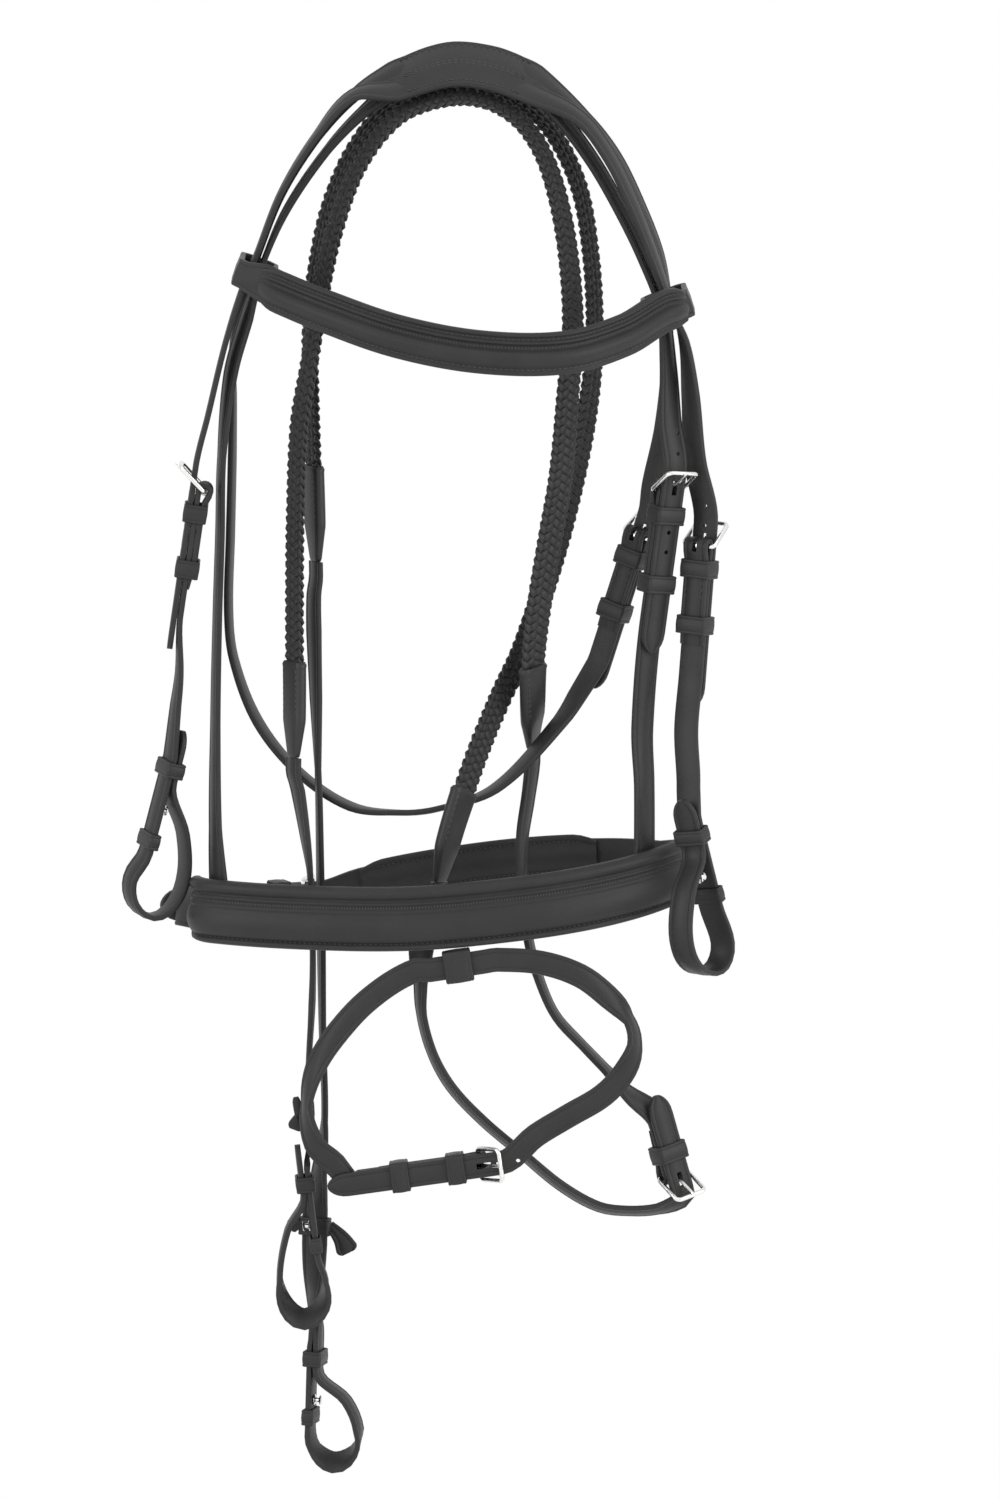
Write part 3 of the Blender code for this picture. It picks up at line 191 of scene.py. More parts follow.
# %% Thread and steel
twist_depth = 0.0002
rub_depth = 0.0003


def thread():
    made = Finish(bpy.data.materials.new("waxed_thread"))
    twist = made.noise(made.place(), scale=2600.0, detail=1.0, roughness=0.5)
    colour = made.blend(twist, (0.030, 0.029, 0.028, 1.0), (0.075, 0.072, 0.070, 1.0))
    normal = made.bump(twist, strength=0.4, distance=twist_depth)
    return made.surface(Base_Color=colour, Roughness=0.55, Normal=normal)


def steel():
    made = Finish(bpy.data.materials.new("polished_steel"))
    where = made.place()
    rub = made.noise(where, scale=260.0, detail=3.0, roughness=0.6)
    haze = made.noise(where, scale=45.0, detail=2.0, roughness=0.5)
    colour = made.blend(haze, (0.74, 0.74, 0.73, 1.0), (0.86, 0.86, 0.85, 1.0))
    normal = made.bump(rub, strength=0.08, distance=rub_depth)
    return made.surface(
        Base_Color=colour, Metallic=1.0, Roughness=0.10 + rub * 0.12, Normal=normal
    )


waxed_thread = thread()
polished_steel = steel()
print("metal and thread", polished_steel.name, waxed_thread.name)

# %% [markdown]
# ## The strap as a route
#
# A strap is flat, so it needs more than a line: it needs a line and the way that its outer
# side faces. A knot holds both. The routes come from the CAD model's own layout, so every
# strap lies where its solid lies, but the curve between two knots is cut finer here. They
# are written as they were read off the front view: across, down from the hook and back from
# the viewer, in units of 0.6 mm, then how far the outer side is turned and tipped, in degrees.

# %% Points and directions
layout_unit = 0.0006
sight_angle_deg = 8.0
strap_thickness = 0.0034
clearance = 0.0004
fine_step = 0.0050
sight = math.radians(sight_angle_deg)


def place(across, down, back):
    """A point of the front view at its depth, lowered so that it keeps its drawn height."""
    height = (-down - back * math.sin(sight)) / math.cos(sight)
    return Vector((across, back, height)) * layout_unit


def facing(round_deg, up_deg=0.0):
    """The outer side of a strap: 0 faces the viewer, 90 the right, -90 the left."""
    turn = math.radians(round_deg)
    lift = math.radians(up_deg)
    level = math.cos(lift)
    return Vector((math.sin(turn) * level, -math.cos(turn) * level, math.sin(lift)))


def square_to(way, direction):
    """The part of a direction that is square to a way."""
    return (direction - way * direction.dot(way)).normalized()


print("one unit of the layout is", layout_unit * 1000, "mm")

# %% Knots and seats
class Knot:
    """One point of a route: where it is, which way the outer side looks, how wide it is."""

    def __init__(self, at, face, width=None, straight=False):
        self.at = at
        self.face = face.normalized()
        self.width = width
        self.straight = straight


def knots(rows, width=None):
    """The knots of a table, with its rows as the text above gives them."""
    return [Knot(place(*row[:3]), facing(*row[3:]), width) for row in rows]


class Seat:
    """A place on a strap: its middle, the strap's way there, its outer side and its width."""

    def __init__(self, row, way_row, turn_deg, width):
        self.at = place(*row)
        reach = place(*way_row) - self.at
        self.run = reach.length
        self.way = reach.normalized()
        self.out = square_to(self.way, facing(turn_deg))
        self.side = self.way.cross(self.out).normalized()
        self.width = width

    def knot(self, along, layer=0.0, look=1):
        """A straight knot so far along and so far out; a look of -1 faces inward."""
        at = self.at + self.out * layer + self.way * along
        return Knot(at, self.out * look, self.width, True)


print("a knot holds", sorted(vars(knots([(0, 0, 0, 0)])[0])))

# %% Curves
def smooth(route, step=fine_step, first=0, last=None):
    """Stations along a soft curve through the knots; straight knots keep their line."""
    end = len(route) - 1
    ways = []
    for i, knot in enumerate(route):
        before = route[max(i - 1, 0)]
        after = route[min(i + 1, end)]
        if knot.straight and i < end and after.straight:
            before = knot
        elif knot.straight and i > 0 and before.straight:
            after = knot
        ways.append((after.at - before.at).normalized())
    stations = [route[first]]
    for i in range(first, end if last is None else last):
        a = route[i]
        b = route[i + 1]
        reach = (b.at - a.at).length
        straight = a.straight and b.straight
        steps = max(1, math.ceil(reach / step))
        if straight and reach < step * 2:
            steps = 1
        for j in range(1, steps + 1):
            t = j / steps
            if straight:
                at = a.at.lerp(b.at, t)
            else:
                at = (
                    a.at * (2 * t**3 - 3 * t**2 + 1)
                    + ways[i] * reach * (t**3 - 2 * t**2 + t)
                    + b.at * (3 * t**2 - 2 * t**3)
                    + ways[i + 1] * reach * (t**3 - t**2)
                )
            width = None
            if a.width is not None and b.width is not None:
                width = a.width + (b.width - a.width) * t
            stations.append(Knot(at, a.face.lerp(b.face, t), width, straight))
    return stations


def axes_along(stations, closed=False):
    """Side, way and outward direction at every station of a route."""
    count = len(stations)
    found = []
    for i, station in enumerate(stations):
        before = stations[i - 1 if closed else max(i - 1, 0)].at
        after = stations[(i + 1) % count if closed else min(i + 1, count - 1)].at
        way = ((station.at - before).normalized() + (after - station.at).normalized()).normalized()
        side = way.cross(station.face).normalized()
        found.append((side, way, side.cross(way).normalized()))
    return found


print("a curve has a station every", fine_step * 1000, "mm or less")

# %% Courses
class Course:
    """A route measured by its length, to place things at a distance along it."""

    def __init__(self, stations):
        self.stations = stations
        self.axes = axes_along(stations)
        self.lengths = [0.0]
        for a, b in zip(stations, stations[1:]):
            self.lengths.append(self.lengths[-1] + (b.at - a.at).length)
        self.total = self.lengths[-1]

    def at(self, length):
        """Place, side, way and outward direction at a length along the route."""
        length = min(max(length, 0.0), self.total)
        low = min(bisect_right(self.lengths, length), len(self.lengths) - 1) - 1
        gap = self.lengths[low + 1] - self.lengths[low]
        t = (length - self.lengths[low]) / gap if gap > 0 else 0.0
        point = self.stations[low].at.lerp(self.stations[low + 1].at, t)
        pairs = zip(self.axes[low], self.axes[low + 1])
        return point, *(a.lerp(b, t).normalized() for a, b in pairs)


print("a course of one unit is", Course(knots([(0, 0, 0, 0), (1, 0, 0, 0)])).total * 1000, "mm long")

# %% [markdown]
# ## Carrying a section along a route
#
# The section of a strap is a small closed outline. Extruding its face from station to
# station gives the strap, as pulling a bar through a die would.

# %% Sweep
weld_distance = 0.0000006


def sweep(stations, section_at, closed=False):
    """Extrude a section from station to station; a closed one meets its own start."""
    rings = []
    for i, (station, (side, _, out)) in enumerate(zip(stations, axes_along(stations, closed))):
        rings.append([station.at + side * u + out * v for u, v in section_at(i)])
    if closed:
        rings.append(rings[0])
    bm = bmesh.new()
    first = bm.faces.new([bm.verts.new(point) for point in rings[0]])
    face = first
    inner = []
    for ring in rings[1:]:
        if closed or face is not first:
            inner.append(face)
        grown = bmesh.ops.extrude_face_region(bm, geom=[face], use_keep_orig=True)
        face = next(item for item in grown["geom"] if isinstance(item, bmesh.types.BMFace))
        for vert, point in zip(face.verts, ring):
            vert.co = point
    if closed:
        inner.append(face)
    bmesh.ops.delete(bm, geom=inner, context="FACES_ONLY")
    if closed:
        bmesh.ops.remove_doubles(bm, verts=bm.verts[:], dist=weld_distance)
    return bm


print("doubles are welded within", weld_distance * 1000000, "microns")

# %% Objects and their bodies
def shade(mesh, sharp_deg):
    mesh.shade_smooth()
    mesh.set_sharp_from_angle(angle=math.radians(sharp_deg))


def add_object(name, bm, material, sharp_deg=40.0):
    """Turn a bmesh into an object at the origin, shaded smooth but for its sharp edges."""
    bmesh.ops.recalc_face_normals(bm, faces=bm.faces[:])
    mesh = bpy.data.meshes.new(name)
    bm.to_mesh(mesh)
    bm.free()
    mesh.materials.append(material)
    shade(mesh, sharp_deg)
    thing = bpy.data.objects.new(name, mesh)
    bpy.context.collection.objects.link(thing)
    return thing


bodies = frame["record"]["behaviour"]["bodies"]
BODY_OF = {node: body for body, nodes in bodies.items() for node in nodes}


def go_with(thing, node, slot="black_leather"):
    """A detail that has no solid of its own moves with the body of the piece it is on."""
    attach(thing, BODY_OF[node])
    return thing


def stand_for(thing, node, slot="black_leather"):
    """The piece takes the place of its CAD solid and moves with that solid's body."""
    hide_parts(node)
    return go_with(thing, node, slot)


# %% [markdown]
# ## The strap's section
#
# A strap is cut from one thickness or sewn from two. Its corners are bevelled and polished
# round, and a hot creasing iron presses a fine line beside each edge of the outer face. The
# line catches the light all along the strap, so it is part of the shape and not of the
# finish. The inner face is left plain.

# %% Strap and point sections
edge_round = 0.0011
crease_inset = 0.0021
crease_width = 0.0011
crease_depth = 0.00034
crown_of_face = 0.00030
full_crease_half = 0.004
full_crown_half = 0.008
skive_share = 0.25
fold_skive = 0.018
point_length = 0.0125
POINT_SHARES = (
    (0.0, 1.0), (0.3, 0.96), (0.55, 0.84), (0.75, 0.66), (0.9, 0.44), (0.97, 0.28), (1.0, 0.16),
)


def mirrored(right, middle):
    """A whole outline from its right half and the point at its top."""
    return right + [middle] + [(-u, v) for u, v in right[::-1]]


def strap_section(width, thickness, crease=True):
    """The outline of a creased strap, from the inner face round to the outer face."""
    half = width / 2
    high = thickness / 2
    r = min(edge_round, thickness * 0.42, half * 0.45)
    inset = min(crease_inset, half * 0.45)
    wide = min(crease_width, half * 0.25)
    depth = crease_depth * min(1.0, half / full_crease_half) if crease else 0.0
    right = [
        (half - r, -high),
        (half - r * 0.3, r * 0.3 - high),
        (half, r - high),
        (half, high - r),
        (half - r * 0.3, high - r * 0.3),
        (half - r, high),
        (half - inset, high),
        (half - inset - wide / 2, high - depth),
        (half - inset - wide, high),
    ]
    return mirrored(right, (0.0, high + crown_of_face * min(1.0, half / full_crown_half)))


print("section points", len(strap_section(edge_round * 10, strap_thickness)))

# %% Points and straps
def table_at(rows, where):
    """The second column of a table, read between its rows by the first."""
    for (a, value_a), (b, value_b) in zip(rows, rows[1:]):
        if where <= b and b > a:
            return value_a + (value_b - value_a) * (where - a) / (b - a)
    return rows[-1][1]


def with_point(route, end):
    """Add stations close to a pointed end, so that the point has its shape."""
    if end == "start":
        return with_point(route[::-1], "end")[::-1]
    tip = route[-1]
    way = (route[-2].at - tip.at).normalized()
    made = [knot for knot in route[:-1] if (knot.at - tip.at).length > point_length * 1.04]
    for reach, _ in POINT_SHARES[:-1]:
        at = tip.at + way * point_length * (1 - reach)
        made.append(Knot(at, tip.face, tip.width, tip.straight))
    return made + [tip]


def strap(name, route, width, points=("end",), skived=False):
    """A creased leather strap along a route; a skived one has its first length pared thin."""
    stations = smooth(route)
    for end in points:
        stations = with_point(stations, end)
    course = Course(stations)

    def section(i):
        length = course.lengths[i]
        own = stations[i].width or width
        for end in points:
            left = length if end == "start" else course.total - length
            if left < point_length:
                own *= table_at(POINT_SHARES, 1.0 - left / point_length)
        full = min(1.0, length / fold_skive) if skived else 1.0
        return strap_section(own, strap_thickness * (skive_share + (1.0 - skive_share) * full))

    return add_object(name, sweep(stations, section), strap_leather)


print("a strap's point is", point_length * 1000, "mm long")

# %% [markdown]
# ## Cutting holes and slots
#
# Billets are punched with a row of round holes for the buckle's tongue, and a strap that is
# turned round a buckle's bar is slotted for the tongue's eye. Both are cut with a Boolean,
# because a punched hole is just that: a rod taken out of the leather.

# %% Cutters
hole_radius = 0.0013
hole_pitch = 0.0120


def laid(centre, axes, sizes=(1.0, 1.0, 1.0)):
    """The matrix that sizes a shape, lays its X, Y and Z along three axes and places it."""
    turn = Matrix(axes).transposed().to_4x4()
    return Matrix.Translation(centre) @ turn @ Matrix.Diagonal((*sizes, 1.0))


def cut_with(thing, bm):
    cutter = add_object("cutter", bm, strap_leather)
    modifier = thing.modifiers.new("cut", "BOOLEAN")
    modifier.operation = "DIFFERENCE"
    modifier.solver = "EXACT"
    modifier.object = cutter
    graph = bpy.context.evaluated_depsgraph_get()
    changed = bpy.data.meshes.new_from_object(thing.evaluated_get(graph))
    thing.modifiers.clear()
    thing.data = changed
    bpy.data.objects.remove(cutter, do_unlink=True)
    shade(thing.data, 40.0)


print("holes", round(hole_radius * 2000, 2), "mm wide,", round(hole_pitch * 1000), "mm apart")

# %% [markdown]
# ## Stitches
#
# Saddle stitching runs down both edges of every doubled strap: short slanted threads that
# sit in the crease. There are thousands, so each is only a small stretched ball of twenty
# faces, laid on the leather where the course says.

# %% Stitches
stitch_length = 0.0026
stitch_pitch = 0.0034
stitch_radius = 0.00032
stitch_inset = 0.0026
stitch_lift = 0.00006


def stitch_line(bm, course, start, end, across, lift, slant_deg=10.0, pitch=stitch_pitch,
                length=stitch_length):
    """One row of stitches between two lengths of a course, at an offset across it."""
    slant = math.radians(slant_deg)
    count = max(1, int((end - start) / pitch))
    for i in range(count):
        reach = start + (end - start) * (i + 0.5) / count
        point, side, way, out = course.at(reach)
        along = way * math.cos(slant) + side * math.sin(slant)
        centre = point + side * across + out * (lift(reach) if callable(lift) else lift)
        sizes = (stitch_radius, length / 2, stitch_radius)
        matrix = laid(centre, (along.cross(out), along, out), sizes)
        bmesh.ops.create_icosphere(bm, subdivisions=1, radius=1.0, matrix=matrix)


def add_stitches(name, node, lines):
    """One object of several stitch lines, each given as a stitch line's own arguments."""
    bm = bmesh.new()
    for line in lines:
        stitch_line(bm, *line)
    return go_with(add_object(name, bm, waxed_thread, 80.0), node)


print("stitches per 100 mm:", round(0.1 / stitch_pitch))

# %% [markdown]
# ## Buckles
#
# Each strap is shortened or opened at a small square buckle of round steel wire. Its own
# strap folds round the heel bar; the tongue turns on the same bar and lies over the far bar.
# The frame stands at a tilt, because the billet rises through it. The CAD model built every
# buckle from one heel point, one way and one outward side, and so does this lesson.

# %% The buckle's sizes
wire_radius = 0.0014
frame_length = 0.021
frame_side_clearance = 0.0010
frame_corner = 0.0030
frame_tilt_deg = 50.0
tongue_width = 0.0024
tongue_thickness = 0.0012
tongue_overhang = 0.0030
tongue_dip = 0.0003
tongue_eye_deg = 250.0
tongue_turns = 17
tongue_steps = 10
tongue_slack = 0.0008
fold_turns = 10
fold_sewn = 0.036
fold_return = 0.060
fold_closes = 0.0125
fold_stitch_start = 0.0205
fold_stitch_less = 0.003
sewn_gap = 0.00004
billet_gap = 0.00034
billet_rise = 0.013
tongue_hole_back = 0.0031
tongue_hole_sizes = (0.0034, 0.0086)
cut_through = 0.0020
stack_straight = 0.078
keeper_wall = 0.0015
keeper_length = 0.0110
fixed_keeper_place = 0.0140
running_keeper_place = 0.0480


def rounded_corners(half_a, half_b, corner, per_corner):
    """The points of a rectangle with soft corners."""
    points = []
    for sign_a, sign_b, start in ((1, 1, 0), (-1, 1, 90), (-1, -1, 180), (1, -1, 270)):
        for k in range(per_corner):
            turn = math.radians(start + 90.0 * k / (per_corner - 1))
            a = sign_a * (half_a - corner) + corner * math.cos(turn)
            b = sign_b * (half_b - corner) + corner * math.sin(turn)
            points.append((a, b))
    return points


def ring_sweep(centre, side, ahead, half_a, half_b, corner, per_corner, section):
    """A closed sweep round a rectangle with soft corners, its outer side away from the middle."""
    stations = []
    for a, b in rounded_corners(half_a, half_b, corner, per_corner):
        away = side * (a / half_a) + ahead * (b / half_b)
        stations.append(Knot(centre + side * a + ahead * b, away))
    return sweep(stations, lambda i: section, closed=True)


def add_steel(name, node, bm, sharp_deg):
    return stand_for(add_object(name, bm, polished_steel, sharp_deg), node, "polished_steel")


print("buckle frame", frame_length * 1000, "mm long, wire", wire_radius * 2000, "mm thick")

# %% [markdown]
# ## Keepers
#
# Keepers are short loops of thin leather that hold a billet's end down. The fixed keeper is
# sewn in beside the buckle and the running one slides. Each is blocked over a square bar
# while wet, so its corners are crisp and its face slightly crowned, with a crease by each
# edge.

# %% Keepers
keeper_crease = ((0.0014, 0.0), (0.0018, 0.00026), (0.0022, 0.0))
keeper_crown = 0.0002


def keeper_section(length, wall):
    """Across the keeper's width: two creased edges and a slight crown on the outer face."""
    half = length / 2
    high = wall / 2
    r = wall * 0.34
    right = [(half - r, -high), (half, r - high), (half, high - r), (half - r, high)]
    right += [(half - inset, high - depth) for inset, depth in keeper_crease]
    return mirrored(right, (0.0, high + keeper_crown))


def add_keeper(node, seat, along, low, high, wall=keeper_wall, length=keeper_length):
    """A keeper round a strap, from its lowest to its highest layer."""
    centre = seat.at + seat.way * along + seat.out * (high + low) / 2
    half_a = seat.width / 2 + clearance + wall / 2
    half_b = (high - low) / 2 + wall / 2
    section = keeper_section(length, wall)
    bm = ring_sweep(centre, seat.side, seat.out, half_a, half_b, wall * 0.62, 5, section)
    stand_for(add_object(node + "_loop", bm, strap_leather, 50.0), node)


print("keeper", keeper_length * 1000, "mm wide,", keeper_wall * 1000, "mm thick")

# %% Buckle
class Buckle(Seat):
    """Where a buckle sits: its heel bar, the way of its own strap and its outer side."""

    def __init__(self, row, way_row, turn_deg, width, straight=stack_straight,
                 running=running_keeper_place, fold_end=fold_return):
        super().__init__(row, way_row, turn_deg, width)
        self.straight = straight
        self.running = running
        self.fold_end = fold_end
        self.axes = (self.side, self.way, self.out)
        self.layer = wire_radius + clearance + strap_thickness / 2
        self.billet_layer = self.layer + strap_thickness + billet_gap
        self.closed_layer = self.layer - strap_thickness - sewn_gap
        tilt = math.radians(frame_tilt_deg)
        self.ahead = self.out * math.sin(tilt) - self.way * math.cos(tilt)
        self.above = self.out * math.cos(tilt) + self.way * math.sin(tilt)

    def fold_knots(self):
        """The strap's own end: inner layer, round the bar, then the outer layer."""
        closed = self.closed_layer
        made = [
            self.knot(self.fold_end, closed + strap_thickness * (1.0 - skive_share) / 2, -1),
            self.knot(self.fold_end - fold_skive, closed, -1),
            self.knot(fold_closes, closed, -1),
            self.knot(fold_closes / 2, (closed - self.layer) / 2, -1),
            self.knot(0.0, -self.layer, -1),
        ]
        made[3].straight = False
        for k in range(1, fold_turns):
            turn = math.pi * k / fold_turns
            away = -self.out * math.cos(turn) - self.way * math.sin(turn)
            made.append(Knot(self.at + away * self.layer, away, self.width, True))
        return made + [self.knot(0.0, self.layer), self.knot(self.straight, self.layer)]

    def billet_knots(self, tail):
        """The billet's straight run over the fold, ending at its tip."""
        return [self.knot(-billet_rise, self.billet_layer), self.knot(tail, self.billet_layer)]


print("a fold has", fold_turns, "turns round its bar")

# %% Slots and holes for the tongue
def slot_fold(buckle, thing):
    """Open the fold where the tongue's eye goes round the heel bar."""
    low = buckle.layer + strap_thickness / 2 + cut_through / 2
    high = wire_radius + clearance + tongue_thickness + clearance
    centre = buckle.at + buckle.way * (high - low) / 2
    deep = 2 * buckle.layer + strap_thickness + cut_through
    bm = bmesh.new()
    matrix = laid(centre, buckle.axes, (tongue_width + tongue_slack, high + low, deep))
    bmesh.ops.create_cube(bm, size=1.0, matrix=matrix)
    cut_with(thing, bm)


def hole_billet(buckle, thing, ahead, behind):
    """The long hole that the tongue is through, and the spare holes before and after it."""
    line = buckle.at + buckle.out * buckle.billet_layer
    bm = bmesh.new()
    sizes = (*tongue_hole_sizes, strap_thickness + cut_through)
    matrix = laid(line - buckle.way * tongue_hole_back, buckle.axes, sizes)
    bmesh.ops.create_cube(bm, size=1.0, matrix=matrix)
    for count, step in ((ahead, hole_pitch), (behind, -hole_pitch)):
        for k in range(count):
            bmesh.ops.create_cone(
                bm, cap_ends=True, segments=18, radius1=hole_radius, radius2=hole_radius,
                depth=strap_thickness * 2.2,
                matrix=laid(line + buckle.way * step * (k + 1), buckle.axes),
            )
    cut_with(thing, bm)


print("the tongue's hole is", tongue_hole_sizes[1] * 1000, "mm long")

# %% Frame and tongue
def add_frame(buckle, node):
    """Round wire bent to a square with soft corners."""
    half_a = buckle.width / 2 + frame_side_clearance + wire_radius
    half_b = frame_length / 2
    turns = [2 * math.pi * i / 14 for i in range(14)]
    wire = [(wire_radius * math.cos(turn), wire_radius * math.sin(turn)) for turn in turns]
    middle = buckle.at + buckle.ahead * half_b
    bm = ring_sweep(middle, buckle.side, buckle.ahead, half_a, half_b, frame_corner, 7, wire)
    add_steel(node + "_wire", node, bm, 70.0)


def add_tongue(buckle, node):
    """A flat tongue rolled round the heel bar, slimmer and rounder towards its tip."""
    radius = wire_radius + clearance + tongue_thickness / 2
    stations = []
    for k in range(tongue_turns):
        turn = math.radians(-tongue_eye_deg * (1.0 - k / (tongue_turns - 1)))
        away = buckle.above * math.cos(turn) + buckle.ahead * math.sin(turn)
        stations.append(Knot(buckle.at + away * radius, away))
    for k in range(1, tongue_steps + 1):
        share = k / tongue_steps
        high = radius - tongue_dip * math.sin(math.pi * share)
        reach = (frame_length + tongue_overhang) * share
        stations.append(Knot(buckle.at + buckle.above * high + buckle.ahead * reach, buckle.above))

    def section(i):
        share = max(0.0, (i - tongue_turns + 1) / tongue_steps)
        at_tip = i == len(stations) - 1
        wide = tongue_width / 2 * (1.0 - 0.25 * share) * (0.55 if at_tip else 1.0)
        tall = tongue_thickness / 2 * (0.6 if at_tip else 1.0)
        return rounded_corners(wide, tall, tall * 0.8, 4)

    add_steel(node + "_bar", node, sweep(stations, section), 60.0)


print("tongue", round((frame_length + tongue_overhang) * 1000), "mm long")

# %% Dressing a buckle
def dress_buckle(buckle, stem, node, stitches):
    """Frame, tongue and keepers, and the stitches that hold the fold of the node's strap."""
    add_frame(buckle, stem + "_buckle_frame")
    add_tongue(buckle, stem + "_buckle_tongue")
    high = buckle.billet_layer + strap_thickness / 2 + clearance
    low = buckle.closed_layer - strap_thickness / 2 - clearance
    add_keeper(stem + "_fixed_keeper", buckle, fixed_keeper_place, low, high)
    if buckle.running is not None:
        add_keeper(stem + "_running_keeper", buckle, buckle.running, low, high)
    lines = []
    end = min(fold_sewn, buckle.fold_end)
    for layer, look, less in ((buckle.layer, 1, 0.0), (buckle.closed_layer, -1, fold_stitch_less)):
        course = Course([buckle.knot(0.0, layer, look), buckle.knot(buckle.fold_end, layer, look)])
        for sign in (-1, 1):
            offset = sign * (buckle.width / 2 - stitch_inset)
            lines.append((course, fold_stitch_start, end - less, offset, strap_thickness / 2))
    add_stitches(stitches, node, lines)


print("the fixed keeper is", fixed_keeper_place * 1000, "mm from the heel bar")

# %% [markdown]
# ## Where the buckles and loops sit
#
# The places are the CAD model's own. Each row of the table has a point on a strap, such as
# the heel bar of its buckle, and another point further down. A buckle also needs to know how
# far the outer side is turned, and the strap's width. Seven buckles join the straps.

# %% Places and widths
cheek_width = 0.016
throat_width = 0.014
headstrap_width = 0.016
chin_width = 0.020
flash_width = 0.0145
rein_width = 0.016
hanger_running_place = 0.0560
rein_stack_straight = 0.032
rein_fold_return = 0.030
billet_tail = 0.098
chin_tail = 0.090
flash_tail = 0.092
rein_tail = 0.050

PLACES = {
    "left_cheek": ((-246, 386, -22), (-260, 481, -22)),
    "right_cheek": ((249, 441, -10), (241, 545, -14)),
    "throat": ((187, 430, 30), (155, 530, 33)),
    "hanger": ((216, 386, -6), (202, 490, -6)),
    "chin": ((-150, 798, 96), (-234, 802, 60)),
    "flash": ((29, 1062, -76), (-35, 1071, -74)),
    "centre": ((223, 1074, -16), (205, 1010, -16)),
    "left_bit": ((-284, 664, -26), (-306, 748, -26)),
    "right_bit": ((244, 731, -56), (262, 803, -44)),
    "left_rein_end": ((-143, 1082, -43), (-134, 1156, -44)),
    "right_rein_end": ((-140, 1260, -5), (-142, 1332, -6)),
    "left_browband_loop": ((-195.5, 170, 0), (-211, 211, 0)),
    "right_browband_loop": ((218, 202, 1), (233, 243, 1)),
    "flash_loop": ((8, 862, -104), (27, 859, -104)),
    "left_stop": ((-143, 1010, -44), (-143, 1082, -44)),
    "right_stop": ((-137, 1127, -3), (-138, 1180, -3)),
}
left_cheek = Buckle(*PLACES["left_cheek"], -90.0, cheek_width)
right_cheek = Buckle(*PLACES["right_cheek"], 150.0, cheek_width)
throat = Buckle(*PLACES["throat"], 150.0, throat_width)
hanger = Buckle(*PLACES["hanger"], 35.0, headstrap_width, running=hanger_running_place)
chin = Buckle(*PLACES["chin"], -153.0, chin_width)
flash = Buckle(*PLACES["flash"], 0.0, flash_width)
centre = Buckle(*PLACES["centre"], 34.0, rein_width, straight=rein_stack_straight,
                running=None, fold_end=rein_fold_return)
print("seven buckles placed; the widest strap at a buckle is", chin.width * 1000, "mm")

# %% [markdown]
# ## Bit ends
#
# The strap runs down past two keepers, turns back in a loop for the bit's ring, and its
# point goes up behind and hooks over the stud on the inner face, so that it can be let go
# without a knife. The upper keeper holds the point, and the lower keeper closes the loop.

# %% Bit ends and hook studs
bit_rise = 0.0074
bit_return = 0.024
bit_keeper_inset = 0.0075
bit_keeper_length = 0.0095
bit_keeper_slack = 0.0003
bit_pitch = strap_thickness + clearance
stud_place = 0.026
stud_unit = 0.0001
STUD_PROFILE = (
    (0, 0), (32, 0), (33, 4), (30, 8), (18, 10), (14, 16), (14, 30),
    (19, 34), (29, 36), (31, 40), (26, 44), (14, 46), (0, 46.5),
)


def add_stud(node, foot, out):
    """A turned stud: a flat foot, a neck and a low domed head."""
    bm = bmesh.new()
    verts = [bm.verts.new((r * stud_unit, 0.0, h * stud_unit)) for r, h in STUD_PROFILE]
    edges = [bm.edges.new(pair) for pair in zip(verts, verts[1:])]
    bmesh.ops.spin(
        bm, geom=verts + edges, cent=(0.0, 0.0, 0.0), axis=(0.0, 0.0, 1.0),
        angle=2 * math.pi, steps=28, use_merge=True,
    )
    bmesh.ops.remove_doubles(bm, verts=bm.verts[:], dist=weld_distance)
    turn = Vector((0.0, 0.0, 1.0)).rotation_difference(out).to_matrix().to_4x4()
    bmesh.ops.transform(bm, matrix=Matrix.Translation(foot) @ turn, verts=bm.verts[:])
    add_steel(node + "_turned", node, bm, 50.0)


class BitEnd(Seat):
    """The seat is where the upper keeper holds the strap; the loop begins at its run's end."""

    def run_knots(self):
        return [self.knot(-bit_rise), self.knot(self.run)]

    def return_knots(self):
        return [self.knot(bit_rise, -bit_pitch, -1), self.knot(-bit_return, -bit_pitch, -1)]

    def dress(self, stem):
        half = strap_thickness / 2 + clearance
        high = half + bit_keeper_slack
        add_keeper(stem + "_upper_bit_keeper", self, 0.0, -bit_pitch - high, high,
                   length=bit_keeper_length)
        add_keeper(stem + "_lower_bit_keeper", self, self.run - bit_keeper_inset, -half, half,
                   length=bit_keeper_length)
        foot = self.at + self.way * stud_place - self.out * half
        add_stud(stem + "_hook_stud", foot, -self.out)


left_bit = BitEnd(*PLACES["left_bit"], -65.0, cheek_width)
right_bit = BitEnd(*PLACES["right_bit"], 150.0, cheek_width)
left_rein_end = BitEnd(*PLACES["left_rein_end"], 92.0, rein_width)
right_rein_end = BitEnd(*PLACES["right_rein_end"], -104.0, rein_width)
print("bit loops begin", round(left_bit.run * 1000), "mm below the upper keeper")

# %% [markdown]
# ## Headpiece
#
# The headpiece lies over the horse's poll, just behind the ears. It is one wide piece split
# into two straps at each end: the front pair buckles to the cheekpieces and the rear pair is
# the throatlash. A second layer is sewn on over the wide part, where the whole weight hangs.

